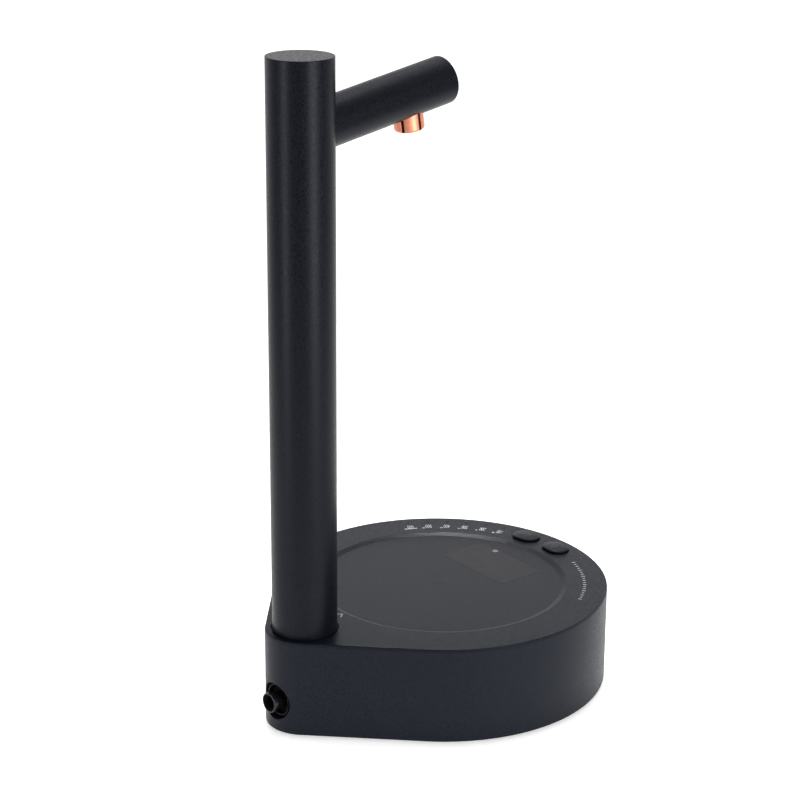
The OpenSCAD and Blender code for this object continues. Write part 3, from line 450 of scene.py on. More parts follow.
# Near-black, almost reflectionless plastic: painted shade for the inlet's recessed collar and the
# nipple's bore, mouth and the disc behind the bead.
inlet_painted_shade = (
    Surface("inlet_painted_shade", (0.0050, 0.0042, 0.0045), 0.7, ior=1.05)
    .mottle(0.8 * MM, 0.25)
    .gloss(2 * MM, 0.15)
    .bump(0.3 * MM, 0.01 * MM)
    .material
)
gloss_black = (
    Surface("gloss_black", (0.005, 0.005, 0.006), 0.16, ior=1.42)
    .mottle(3 * MM, 0.3)
    .gloss(1.5 * MM, 0.3)
    .bump(6 * MM, 0.02 * MM)
    .material
)
rose_gold = (
    Surface("rose_gold", (0.74, 0.285, 0.175), 0.44, metallic=1.0)
    .mottle(2 * MM, 0.06)
    .gloss(0.25 * MM, 0.35, stretch=(1, 1, 6))
    .bump(0.12 * MM, 0.0015 * MM, stretch=(0.2, 0.2, 3))
    .material
)
# Dark reddish-brown, non-metallic: painted shade deep in the nozzle's grooves.
groove_painted_shade = (
    Surface("nozzle_grooves_painted_shade", (0.030, 0.006, 0.004), 0.5, ior=1.2)
    .mottle(0.5 * MM, 0.3)
    .bump(0.2 * MM, 0.01 * MM)
    .material
)
rubber = (
    Surface("rubber", (0.014, 0.014, 0.015), 0.75)
    .mottle(0.6 * MM, 0.3)
    .gloss(1 * MM, 0.1)
    .bump(0.25 * MM, 0.02 * MM)
    .material
)
silicone = (
    Surface("silicone", (0.74, 0.75, 0.74), 0.35)
    .mottle(4 * MM, 0.06)
    .gloss(3 * MM, 0.2)
    .bump(5 * MM, 0.05 * MM)
    .set(Subsurface_Weight=0.3, Subsurface_Scale=0.002, Transmission_Weight=0.25)
    .material
)
steel = (
    Surface("steel", (0.56, 0.57, 0.58), 0.3, metallic=1.0)
    .mottle(1.5 * MM, 0.08)
    .gloss(0.3 * MM, 0.3, stretch=(1, 1, 12))
    .bump(0.15 * MM, 0.004 * MM, stretch=(1, 1, 12))
    .material
)
magnet = (
    Surface("magnet", (0.07, 0.066, 0.064), 0.6, metallic=0.4)
    .mottle(0.6 * MM, 0.35)
    .gloss(1 * MM, 0.15)
    .bump(0.4 * MM, 0.03 * MM)
    .material
)
bronze = (
    Surface("bronze", (0.58, 0.38, 0.16), 0.32, metallic=1.0)
    .mottle(0.5 * MM, 0.15)
    .gloss(0.4 * MM, 0.3)
    .bump(0.2 * MM, 0.01 * MM)
    .material
)
white_plastic = (
    Surface("white_plastic", (0.72, 0.72, 0.69), 0.45)
    .mottle(3 * MM, 0.05)
    .gloss(2 * MM, 0.15)
    .bump(0.4 * MM, 0.01 * MM)
    .material
)
led_clear = (
    Surface("led_clear", (0.05, 0.05, 0.055), 0.22)
    .mottle(0.5 * MM, 0.25)
    .gloss(0.5 * MM, 0.2)
    .bump(0.3 * MM, 0.005 * MM)
    .material
)
cell_wrap = (
    Surface("cell_wrap", (0.05, 0.19, 0.36), 0.24)
    .mottle(8 * MM, 0.1)
    .gloss(4 * MM, 0.3)
    .bump(3 * MM, 0.05 * MM, stretch=(0.3, 1, 1))
    .material
)
clear_film = (
    Surface("clear_film", (0.0092, 0.0076, 0.0096), 0.40, ior=1.232)
    .mottle(6 * MM, 0.10)
    .gloss(5 * MM, 0.06)
    .bump(9 * MM, 0.002 * MM)
    # Reflections tinted bluish: painted light colour.
    .set(Specular_Tint=(0.90, 0.91, 1.0, 1))
    .material
)
# Near-black line: painted shade along the film's near edges.
film_gap_painted_shade = (
    Surface("film_gap_painted_shade", (0.0035, 0.0035, 0.0045), 0.45, ior=1.18)
    .mottle(0.5 * MM, 0.3)
    .gloss(0.8 * MM, 0.2)
    .material
)
# Pale warm white for the film's small dot: a painted highlight.
film_glint_painted_highlight = (
    Surface("film_glint_painted_highlight", (0.20, 0.17, 0.175), 0.5)
    .mottle(0.3 * MM, 0.12)
    .gloss(0.5 * MM, 0.1)
    .material
)
printed_white = (
    Surface("printed_white", (0.42, 0.43, 0.46), 0.55)
    .mottle(0.3 * MM, 0.15)
    .gloss(0.6 * MM, 0.1)
    .material
)
printed_dark = (
    Surface("printed_dark", (0.004, 0.004, 0.005), 0.4)
    .mottle(0.3 * MM, 0.2)
    .gloss(0.6 * MM, 0.1)
    .material
)


def circuit_material():
    """Green lacquer over a grid of thin tracks."""
    made = Surface("circuit_board", (0.012, 0.10, 0.045), 0.3)
    tracks = made.add("ShaderNodeTexBrick")
    tracks.inputs["Scale"].default_value = 260
    tracks.inputs["Mortar Size"].default_value = 0.012
    made.link(made.where, tracks.inputs["Vector"])
    made.two_tone(tracks.outputs["Fac"], (0.03, 0.20, 0.09))
    made.gloss(2 * MM, 0.2)
    made.bump(0.5 * MM, 0.01 * MM)
    return made.material


circuit_board = circuit_material()

CAD_MATERIALS = {
    cover_paint: ["bottom_cover"],
    black_plastic: [
        "battery_holder", "motor_end_cap", "pump_housing", "pump_port_cover", "pump_cradle",
        "column_foot", "riser_elbow", "nozzle_elbow", "tact_switches", "board_components",
    ],
    rubber: [
        "rubber_feet", "foot_seal", "pump_damper", "inlet_gasket", "pump_diaphragm",
        "nozzle_insert",
    ],
    silicone: ["inlet_hose", "outlet_hose", "riser_hose", "spout_hose"],
    steel: [
        "case_screws", "key_board_screws", "battery_contacts", "main_board_screws", "usb_socket",
        "motor_can", "pump_screws", "pump_strap", "strap_screws", "port_screws", "hose_clips",
        "spout_coupling", "motor_rotor",
    ],
    magnet: ["motor_magnets"],
    bronze: ["motor_bushes", "inlet_nut"],
    white_plastic: [
        "power_plunger", "flow_plunger", "pump_eccentric", "pump_valve_plate", "outlet_port",
    ],
    circuit_board: ["key_board", "main_board"],
    led_clear: ["status_leds", "light_guide"],
    cell_wrap: ["battery_cell"],
    clear_film: ["tray_film"],
}
for material, names in CAD_MATERIALS.items():
    for node_name in names:
        data = frame["nodes"][node_name].data
        data.materials.clear()
        data.materials.append(material)

# ---- Base housing and top cover ----

ARC_STEPS = 168
TAIL_STEPS = 72
FLANK_STEPS = 20


def teardrop(inset, z):
    """Outline of the base at a level, set in by a distance: two arcs and their tangents."""
    flank = math.degrees(FLANK)
    big = BASE_R - inset
    small = TAIL_R - inset
    front = [
        TRAY + big * turned(180 - flank + (180 + 2 * flank) * k / ARC_STEPS)
        for k in range(ARC_STEPS + 1)
    ]
    rear = [
        COLUMN + small * turned(flank + (180 - 2 * flank) * k / TAIL_STEPS)
        for k in range(TAIL_STEPS + 1)
    ]
    right = [front[-1].lerp(rear[0], k / FLANK_STEPS) for k in range(1, FLANK_STEPS)]
    left = [rear[-1].lerp(front[0], k / FLANK_STEPS) for k in range(1, FLANK_STEPS)]
    return [Vector((p.x, p.y, z)) for p in front + right + rear + left]


BOSS_ANGLES = (30, 150, -10, -170, -126)
BOSS_RING = BASE_R - WALL - 4.1 * MM
BOSS_R = 3.6 * MM
BOSS_SPLIT = CASE_Z + 27.5 * MM
BOSS_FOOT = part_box("bottom_cover")[0].z + 2.4 * MM


def base_housing():
    """The side wall, rounded at its lower edge and stepped in at the seam under the cover."""
    seam_w = 0.15 * MM
    seam_h = 0.15 * MM
    profile = fillet(
        [
            (0, CASE_Z, 0.7 * MM),
            (0, SEAM_Z - seam_h, 0.1 * MM),
            (seam_w, SEAM_Z - seam_h),
            (seam_w, SEAM_Z),
            (WALL, SEAM_Z),
            (WALL, CASE_Z, 0.3 * MM),
        ],
        steps=5,
        closed=True,
    )
    bm = bmesh.new()
    skin(bm, [ring(bm, teardrop(inset, z)) for inset, z in profile], closed=True)
    bmesh.ops.recalc_face_normals(bm, faces=bm.faces)
    posts = []
    for angle in BOSS_ANGLES:
        place = Matrix.Translation(TRAY + BOSS_RING * turned(angle)) @ Matrix.Rotation(
            math.radians(angle), 4, "Z"
        )
        bore = 1.7 * MM
        post = [(bore, BOSS_FOOT), (BOSS_R, BOSS_FOOT), (BOSS_R, BOSS_SPLIT), (bore, BOSS_SPLIT)]
        posts.append(revolve(post, place, 48, closed=True))
        rib = box_mesh(
            (3 * MM, -1.5 * MM, BOSS_FOOT), (5.4 * MM, 1.5 * MM, BOSS_SPLIT - 0.5 * MM), place
        )
        posts.append(rib)
    bm = combine(bm, posts, "UNION")
    hole = revolve(
        [(0, -40 * MM), (INLET_HOLE_R, -40 * MM), (INLET_HOLE_R, 10 * MM), (0, 10 * MM)],
        basis((0, INLET_TIP, INLET_Z), (1, 0, 0), (0, 1, 0)),
        120,
    )
    usb_place, usb_out = mount("usb_socket")
    usb_frame = basis(usb_place, usb_out.cross(UP), usb_out)
    half = (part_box("usb_socket")[1].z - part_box("usb_socket")[0].z) / 2 + 0.3 * MM
    across = 2.85 * MM
    slot = bmesh.new()
    outline = [
        Vector((side * across + half * math.sin(t) * side, half * math.cos(t) * side, 0))
        for side in (1, -1)
        for t in [math.pi * k / 24 for k in range(25)]
    ]
    low = ring(slot, [p - Vector((0, 0, 6 * MM)) for p in outline])
    high = ring(slot, [p + Vector((0, 0, 6 * MM)) for p in outline])
    skin(slot, [low, high])
    slot.faces.new(low)
    slot.faces.new(high)
    bmesh.ops.recalc_face_normals(slot, faces=slot.faces)
    slot.transform(usb_frame)
    bm = combine(bm, [hole, slot], "DIFFERENCE")
    piece(bm, "base_housing", "base", shell_paint, ["base_shell"])


SOCKET_R = 13.5 * MM
SOCKET_Z = SEAM_Z - 20.3 * MM
SOCKET_BORE_R = 10.05 * MM
SOCKET_STEP_Z = SEAM_Z - 11.1 * MM
SOCKET_EXIT_R = 9.05 * MM
PILLAR_ANGLES = (-24, -52, -106)
PILLAR_RING = TRAY_R + 6.5 * MM
PILLAR_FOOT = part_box("key_board")[1].z


def button_outline(facing, grow, z):
    """Round-ended outline of a button, its length along the rim, grown by a distance."""
    side = (BUTTON_L - BUTTON_W) / 2
    radius = BUTTON_W / 2 + grow
    centre = TRAY + BUTTON_RING * turned(facing)
    along = turned(facing + 90)
    points = []
    for end, start in ((1, 0), (-1, 180)):
        for k in range(49):
            round_end = radius * turned(facing + start + 180 * k / 48)
            points.append(centre + end * side * along + round_end)
    return [Vector((p.x, p.y, z)) for p in points]


def stepped_hole(bm, outline, edge):
    """Loops of a hole through the deck, with a rounded upper edge."""
    profile = fillet([(2 * edge, DECK_Z), (0, DECK_Z, edge), (0, DECK_UNDER)], steps=4)[1:]
    rings = [ring(bm, outline(grow, z)) for grow, z in profile]
    skin(bm, rings)
    return rings[0], rings[-1]


def film_outline(grow, z):
    """Rounded rectangle round the film in the tray."""
    low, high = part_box("tray_film")
    centre = (low + high) / 2
    turn = math.radians(-4)
    half_l = 25.5 * MM + grow
    half_w = 14.25 * MM + grow
    radius = 2 * MM + grow
    corners = [(half_l, -half_w), (half_l, half_w), (-half_l, half_w), (-half_l, -half_w)]
    flat = fillet([(*c, radius) for c in corners], steps=8, closed=True)
    rotate = Matrix.Rotation(turn, 2)
    return [Vector((*(centre.xy + rotate @ p), z)) for p in flat]


def top_cover():
    """The deck: rounded rim, tray, column recess, button holes and light holes, with its bosses."""
    bm = bmesh.new()
    rim = fillet(
        [
            (WALL + COVER_GAP, DECK_UNDER),
            (WALL + COVER_GAP, SEAM_Z),
            (0, SEAM_Z, 0.15 * MM),
            (0, DECK_Z, 0.55 * MM),
            (3 * MM, DECK_Z),
        ],
        steps=5,
    )[:-1]
    rim_rings = [ring(bm, teardrop(inset, z)) for inset, z in rim]
    skin(bm, rim_rings)
    deck_loops = [rim_rings[-1]]
    under_loops = [rim_rings[0]]

    tray = fillet(
        [
            (TRAY_R + 3 * MM, DECK_Z),
            (TRAY_R, DECK_Z, 0.9 * MM),
            (TRAY_FOOT_R, TRAY_Z, 1.6 * MM),
            (TRAY_FOOT_R - 6 * MM, TRAY_Z),
        ],
        steps=6,
    )[1:-1]
    tray_rings = [ring(bm, circle(TRAY, r, z, 240)) for r, z in tray]
    skin(bm, tray_rings)
    deck_loops.append(tray_rings[0])

    mark_r = 4.35 * MM
    mark_w = 0.28 * MM
    mark_depth = 0.06 * MM
    mark = [
        (mark_r + mark_w, TRAY_Z),
        (mark_r + mark_w / 2, TRAY_Z - mark_depth),
        (mark_r - mark_w / 2, TRAY_Z - mark_depth),
        (mark_r - mark_w, TRAY_Z),
    ]
    mark_rings = [ring(bm, circle(TRAY, r, z, 96)) for r, z in mark]
    skin(bm, mark_rings)
    fill(bm, [mark_rings[-1]])

    film_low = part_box("tray_film")[0].z
    film_top = ring(bm, film_outline(0.1 * MM, TRAY_Z))
    film_floor = ring(bm, film_outline(0.1 * MM, film_low))
    skin(bm, [film_top, film_floor])
    fill(bm, [film_floor])
    fill(bm, [tray_rings[-1], mark_rings[0], film_top])

    skirt_r = TRAY_R + 1.2 * MM
    skirt = [(skirt_r, DECK_UNDER), (skirt_r, TRAY_Z - TRAY_FLOOR_T)]
    skirt_rings = [ring(bm, circle(TRAY, r, z, 240)) for r, z in skirt]
    skin(bm, skirt_rings)
    fill(bm, [skirt_rings[-1]])
    under_loops.append(skirt_rings[0])

    socket = fillet(
        [
            (RECESS_R + 2 * MM, DECK_Z),
            (RECESS_R, DECK_Z, 0.25 * MM),
            (RECESS_R, SEAM_Z),
            (SOCKET_BORE_R, SEAM_Z, 0.3 * MM),
            (SOCKET_BORE_R, SOCKET_STEP_Z),
            (SOCKET_EXIT_R, SOCKET_STEP_Z),
            (SOCKET_EXIT_R, SOCKET_Z),
            (SOCKET_R, SOCKET_Z),
            (SOCKET_R, DECK_UNDER),
        ],
        steps=4,
    )[1:]
    socket_rings = [ring(bm, circle(COLUMN, r, z, 144)) for r, z in socket]
    skin(bm, socket_rings)
    deck_loops.append(socket_rings[0])
    under_loops.append(socket_rings[-1])

    for facing in BUTTON_ANGLES.values():
        around = lambda grow, z: button_outline(facing, BUTTON_GAP + grow, z)
        top, bottom = stepped_hole(bm, around, 0.25 * MM)
        deck_loops.append(top)
        under_loops.append(bottom)
    for i in range(LIGHT_COUNT):
        at = TRAY + LIGHT_RING * turned(LIGHT_START - i * LIGHT_PITCH)
        around = lambda grow, z: circle(at, LIGHT_HOLE_R + grow, z, 32)
        top, bottom = stepped_hole(bm, around, 0.12 * MM)
        deck_loops.append(top)
        under_loops.append(bottom)
    fill(bm, deck_loops)
    fill(bm, under_loops)
    bmesh.ops.recalc_face_normals(bm, faces=bm.faces)

    posts = []
    sunk = DECK_UNDER + 0.6 * MM
    for angle in BOSS_ANGLES:
        place = Matrix.Translation(TRAY + BOSS_RING * turned(angle))
        bore = 1.55 * MM
        top = BOSS_SPLIT + 11.9 * MM
        boss = [(0, top), (bore, top), (bore, BOSS_SPLIT), (BOSS_R, BOSS_SPLIT)]
        boss += [(BOSS_R, sunk), (0, sunk)]
        posts.append(revolve(boss, place, 48))
    for angle in PILLAR_ANGLES:
        place = Matrix.Translation(TRAY + PILLAR_RING * turned(angle))
        bore = 1.05 * MM
        top = PILLAR_FOOT + 4.1 * MM
        radius = 2.5 * MM
        pillar = [(0, top), (bore, top), (bore, PILLAR_FOOT), (radius, PILLAR_FOOT)]
        pillar += [(radius, sunk), (0, sunk)]
        posts.append(revolve(pillar, place, 40))
    bm = combine(bm, posts, "UNION")
    key_slot = box_mesh(
        COLUMN + Vector((-2.2 * MM, -11.8 * MM, SOCKET_STEP_Z)),
        COLUMN + Vector((2.2 * MM, -5 * MM, SEAM_Z + MM)),
    )
    barb_slot = box_mesh(
        COLUMN + Vector((-2.8 * MM, -SOCKET_R - MM, SOCKET_Z - MM)),
        COLUMN + Vector((2.8 * MM, -5 * MM, SOCKET_Z + 5.9 * MM)),
    )
    bm = combine(bm, [key_slot, barb_slot], "DIFFERENCE")
    piece(bm, "deck_cover", "base", cover_paint, ["top_cover"], sharp=28)


# ---- Buttons ----

BUTTON_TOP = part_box("power_button")[1].z
BUTTON_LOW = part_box("power_button")[0].z
BUTTON_DOME = 0.7 * MM
DOME_R = ((BUTTON_L / 2) ** 2 + BUTTON_DOME**2) / (2 * BUTTON_DOME)


def dome_height(distance):
    """Level of a button's top at a distance from its middle."""
    return BUTTON_TOP - DOME_R + math.sqrt(DOME_R**2 - distance**2)


def button(name):
    """A domed button with a softly rounded edge and the flange that keeps it in."""
    facing = BUTTON_ANGLES[name]
    centre = TRAY + BUTTON_RING * turned(facing)
    flange = 0.7 * MM
    flange_z = BUTTON_LOW + 1.0 * MM
    edge = 0.6 * MM
    bm = bmesh.new()
    rings = []
    for k in range(9):
        inset = BUTTON_W / 2 * (1 - (k / 8) ** 0.7) * 0.86 + edge
        loop = button_outline(facing, -min(inset, 0.97 * BUTTON_W / 2), 0)
        rings.append([(p, 0) for p in loop])
    for k in range(1, 9):
        t = math.radians(90 * k / 8)
        loop = button_outline(facing, -edge * (1 - math.sin(t)), 0)
        rings.append([(p, edge * (1 - math.cos(t))) for p in loop])
    domed = []
    for loop in rings:
        verts = []
        for p, drop in loop:
            verts.append(Vector((p.x, p.y, dome_height((p - centre).xy.length) - drop)))
        domed.append(ring(bm, verts))
    lower = [(0, flange_z), (flange - 0.2 * MM, flange_z)]
    lower += [(flange, flange_z - 0.2 * MM), (flange, BUTTON_LOW)]
    domed += [ring(bm, button_outline(facing, grow, z)) for grow, z in lower]
    skin(bm, domed)
    fill(bm, [domed[0]])
    fill(bm, [domed[-1]])
    bmesh.ops.recalc_face_normals(bm, faces=bm.faces)
    # Faces that look up above the deck keep the button plastic; the sides get the near-black copy
    # as painted shade.
    for face in bm.faces:
        on_top = face.normal.z > 0.35 and face.calc_center_median().z > DECK_Z
        face.material_index = 0 if on_top else 1
    shown = f"{name}_button_cap"
    looks = [button_plastic, button_wall_painted_shade]
    piece(bm, shown, f"button_{name}", looks, [f"{name}_button"])
    return centre


def stroke(bm, points, width, height_at, lift=0.02 * MM):
    """A thin raised line along flat points, following the surface under it."""
    left = []
    right = []
    for i, here in enumerate(points):
        before = points[max(i - 1, 0)]
        after = points[min(i + 1, len(points) - 1)]
        across = (after - before).normalized()
        across = Vector((-across.y, across.x, 0)) * (width / 2)
        left.append(here + across)
        right.append(here - across)
    rows = []
    for row, raised in ((left, True), (right, True), (right, False), (left, False)):
        verts = []
        for p in row:
            z = height_at(p) + (lift if raised else -lift)
            verts.append(bm.verts.new((p.x, p.y, z)))
        rows.append(verts)
    for k in range(4):
        a, b = rows[k], rows[(k + 1) % 4]
        for i in range(len(points) - 1):
            bm.faces.new((a[i], a[i + 1], b[i + 1], b[i]))
    for i in (0, -1):
        bm.faces.new([row[i] for row in rows])


def arc_points(centre, radius, start, end, steps):
    """Flat points along an arc, angles in degrees."""
    return [centre + radius * turned(start + (end - start) * k / steps) for k in range(steps + 1)]


def button_mark(name, centre):
    """A generic sign on a button: a power ring, or a drop for the flow."""
    facing = BUTTON_ANGLES[name]
    bm = bmesh.new()
    line = 0.38 * MM
    size = 1.9 * MM
    over_dome = lambda p: dome_height((p - centre).xy.length)
    outward = turned(facing)
    if name == "power":
        stroke(bm, arc_points(centre, size, facing + 215, facing + 505, 40), line, over_dome)
        stroke(bm, [centre - outward * size * t for t in (0.25, 0.6, 0.95, 1.3)], line, over_dome)
    else:
        bottom = arc_points(centre, size * 0.7, facing - 120, facing + 120, 32)
        tip = centre - outward * size * 1.5
        joined = [tip] + [tip.lerp(bottom[0], t) for t in (0.35, 0.7)] + bottom
        joined += [bottom[-1].lerp(tip, t) for t in (0.3, 0.65)] + [tip]
        stroke(bm, joined, line, over_dome)
    bmesh.ops.recalc_face_normals(bm, faces=bm.faces)
    shown = f"{name}_button_mark"
    piece(bm, shown, f"button_{name}", printed_dark, weighted=False)


# ---- Printing on the deck ----


def deck_marks():
    """Generic printing: a bar under each number, a scale on the rim, and an arrow."""
    on_deck = lambda p: DECK_Z
    bm = bmesh.new()
    for i in range(LIGHT_COUNT):
        angle = LIGHT_START - i * LIGHT_PITCH
        across = turned(angle + 90)
        half = (3.5 if i == 0 else 0.7) * MM
        shift = (0.3 if i == 0 else 2.9) * MM
        centre = TRAY + (LIGHT_RING - 8.1 * MM) * turned(angle) + across * shift
        stroke(bm, [centre - across * half, centre + across * half], 0.9 * MM, on_deck)
    scale_r = 75.2 * MM
    lengths = (2.0, 1.3, 1.6, 1.3, 1.9, 1.4, 1.5)
    for k in range(19):
        direction = turned(-113.0 - k * 2.08)
        length = lengths[k % len(lengths)] * MM
        start = TRAY + (scale_r - length / 2) * direction
        end = TRAY + (scale_r + length / 2) * direction
        stroke(bm, [start, end], 0.65 * MM, on_deck)
    tip = TRAY + Vector((-0.4 * MM, 67.6 * MM, 0))
    for side in (-1, 1):
        arm = tip + Vector((side * 2.4 * MM, 3.0 * MM, 0))
        stroke(bm, [tip, arm], 0.5 * MM, on_deck)
    bmesh.ops.recalc_face_normals(bm, faces=bm.faces)
    piece(bm, "deck_marks", "base", printed_white, weighted=False)


def light_numbers():
    """Numbers in steps of a hundred beside the status lights, read from outside the rim."""
    for i in range(LIGHT_COUNT):
        angle = LIGHT_START - i * LIGHT_PITCH
        curve = bpy.data.curves.new("number", "FONT")
        curve.body = str((LIGHT_COUNT - i) * 100)
        curve.size = 3.2 * MM
        curve.align_x = "CENTER"
        curve.align_y = "CENTER"
        curve.extrude = 0.02 * MM
        curve.offset = 0.02 * MM
        holder = bpy.data.objects.new("number", curve)
        bpy.context.scene.collection.objects.link(holder)
        graph = bpy.context.evaluated_depsgraph_get()
        bm = bmesh.new()
        bm.from_mesh(holder.evaluated_get(graph).to_mesh())
        bpy.data.objects.remove(holder)
        bpy.data.curves.remove(curve)
        outward = turned(angle)
        middle_of_text = TRAY + (LIGHT_RING - 5.6 * MM) * outward + UP * DECK_Z
        place = basis(middle_of_text, outward.cross(-UP), UP)
        bm.transform(place @ Matrix.Diagonal((0.74, 1.9, 1, 1)))
        bmesh.ops.recalc_face_normals(bm, faces=bm.faces)
        name = f"light_number_{i + 1}"
        piece(bm, name, "base", printed_white, weighted=False)


def film_dot():
    """A small pale disc on the film: a painted highlight standing in for a small glint on it."""
    centre = TRAY + Vector((11.3 * MM, -50.3 * MM, TRAY_Z))
    radius = 1.6 * MM
    top = 0.03 * MM
    low = -0.02 * MM
    profile = fillet([(0, top), (radius, top, 0.02 * MM), (radius, low), (0, low)])
    bm = revolve(profile, Matrix.Translation(centre), 40)
    piece(bm, "film_dot", "base", film_glint_painted_highlight)


def film_edge():
    """The film's two near edges, drawn as a fine dark line: painted shade for the narrow gap at its
    cut side.
    """
    outline = film_outline(0, TRAY_Z)
    near = Vector((-0.735, 0.678))
    centre = sum((p.xy for p in outline), Vector((0, 0))) / len(outline)
    count = len(outline)
    first = max(range(count), key=lambda k: (outline[k].xy - centre).dot(near))
    line = [outline[(first + k) % count] for k in range(-9, 10)]
    bm = bmesh.new()
    stroke(bm, line, 0.4 * MM, lambda p: TRAY_Z)
    bmesh.ops.recalc_face_normals(bm, faces=bm.faces)
    piece(bm, "film_gap_painted_shade", "base", film_gap_painted_shade, weighted=False)

# ---- Column, spout and nozzle ----


def column():
    """The column's tube with the spout's hole, and its flat cap with a fine rounded edge."""
    inner = COLUMN_R - TUBE_WALL
    place = Matrix.Translation(COLUMN)
    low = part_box("column_tube")[0].z
    join = COLUMN_TOP - CAP_T
    tube = fillet(
        [
            (inner, low, 0.2 * MM),
            (COLUMN_R, low, 0.3 * MM),
            (COLUMN_R, join),
            (inner, join),
        ],
        steps=4,
        closed=True,
    )
    bm = revolve(tube, place, FINE, closed=True)
    hole_r = SPOUT_R - TUBE_WALL - 1.6 * MM
    hole = revolve(
        [(0, 0), (hole_r, 0), (hole_r, 2 * COLUMN_R), (0, 2 * COLUMN_R)],
        basis(SPOUT_START, (1, 0, 0), SPOUT_DIR),
        96,
    )
    bm = combine(bm, [hole], "DIFFERENCE")
    piece(bm, "column_body", "column", column_paint, ["column_tube"])
    plug_r = inner - 0.1 * MM
    cap = fillet(
        [
            (0, COLUMN_TOP),
            (COLUMN_R, COLUMN_TOP, 0.35 * MM),
            (COLUMN_R, join),
            (plug_r, join),
            (plug_r, join - 6 * MM, 0.3 * MM),
            (0, join - 6 * MM),
        ],
        steps=6,
    )
    bm = revolve(cap, place, FINE)
    piece(bm, "column_top", "column", column_paint, ["column_cap"])


def spout():
    """The spout's tube, fitted to the column's side, and its cap with a rounded edge."""
    place = basis(SPOUT_START, (1, 0, 0), SPOUT_DIR)
    inner = SPOUT_R - TUBE_WALL
    join = SPOUT_REACH - CAP_T
    tube = [(inner, 0), (SPOUT_R, 0), (SPOUT_R, join), (inner, join)]
    bm = revolve(tube, place, FINE, closed=True)
    column_cut = revolve(
        [(0, 0), (COLUMN_R, 0), (COLUMN_R, COLUMN_TOP + MM), (0, COLUMN_TOP + MM)],
        Matrix.Translation(COLUMN),
        FINE,
    )
    nozzle_r = middle_nozzle_r + 0.1 * MM
    nozzle_cut = revolve(
        [(0, 0), (nozzle_r, 0), (nozzle_r, 2 * SPOUT_R), (0, 2 * SPOUT_R)],
        nozzle_place,
        96,
    )
    bm = combine(bm, [column_cut, nozzle_cut], "DIFFERENCE")
    piece(bm, "spout_body", "column", column_paint, ["spout_tube"])
    plug_r = inner - 0.1 * MM
    cap = fillet(
        [
            (0, SPOUT_REACH),
            (SPOUT_R, SPOUT_REACH, 0.6 * MM),
            (SPOUT_R, join),
            (plug_r, join),
            (plug_r, join - 6 * MM, 0.3 * MM),
            (0, join - 6 * MM),
        ],
        steps=6,
    )
    bm = revolve(cap, place, FINE)
    piece(bm, "spout_end", "column", column_paint, ["spout_cap"])


NOZZLE_AT = middle("nozzle", SPOUT_DIR) - SPOUT_START.dot(SPOUT_DIR)
middle_nozzle_r = (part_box("nozzle")[1].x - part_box("nozzle")[0].x) / 2
nozzle_place = basis(SPOUT_START + NOZZLE_AT * SPOUT_DIR, (1, 0, 0), nozzle_axis)
NOZZLE_LIP = span("nozzle", nozzle_axis)[1] - nozzle_place.translation.dot(nozzle_axis)
NOZZLE_TOP = 3.5 * MM
NOZZLE_BORE_R = 5.2 * MM
GROOVE_COUNT = 5
GROOVE_START = 30
GROOVE_W = 1.8 * MM
GROOVE_DEPTH = 0.7 * MM


def nozzle():
    """The polished nozzle: rounded lip and five grooves down its side."""
    outer = fillet(
        [
            (NOZZLE_BORE_R, NOZZLE_TOP),
            (middle_nozzle_r, NOZZLE_TOP, 0.2 * MM),
            (middle_nozzle_r, NOZZLE_LIP, 1.3 * MM),
            (NOZZLE_BORE_R, NOZZLE_LIP, 0.4 * MM),
        ],
        steps=7,
        closed=True,
    )
    segments = 360
    bm = bmesh.new()
    rings = []
    for radius, height in outer:
        loop = []
        for k in range(segments):
            angle = 360 * k / segments
            pitch = 360 / GROOVE_COUNT
            off = (angle - GROOVE_START + pitch / 2) % pitch - pitch / 2
            across = abs(math.radians(off)) * middle_nozzle_r
            t = min(1, max(0, (GROOVE_W / 2 - across) / (0.35 * MM)))
            dip = GROOVE_DEPTH * t * t * (3 - 2 * t)
            limit = middle_nozzle_r - dip
            loop.append(bm.verts.new(min(radius, limit) * turned(angle) + UP * height))
        rings.append(loop)
    skin(bm, rings, closed=True)
    bmesh.ops.recalc_face_normals(bm, faces=bm.faces)
    # Faces deep in the grooves get the dark groove colour as painted shade; the bore stays rose
    # gold.
    for face in bm.faces:
        distance = face.calc_center_median().xy.length
        if distance < middle_nozzle_r - GROOVE_DEPTH * 0.35 and abs(face.normal.z) < 0.5:
            face.material_index = 1 if distance > NOZZLE_BORE_R + 0.5 * MM else 0
    bm.transform(nozzle_place)
    piece(bm, "nozzle_body", "column", [rose_gold, groove_painted_shade], ["nozzle"], sharp=50)


# ---- Inlet ----


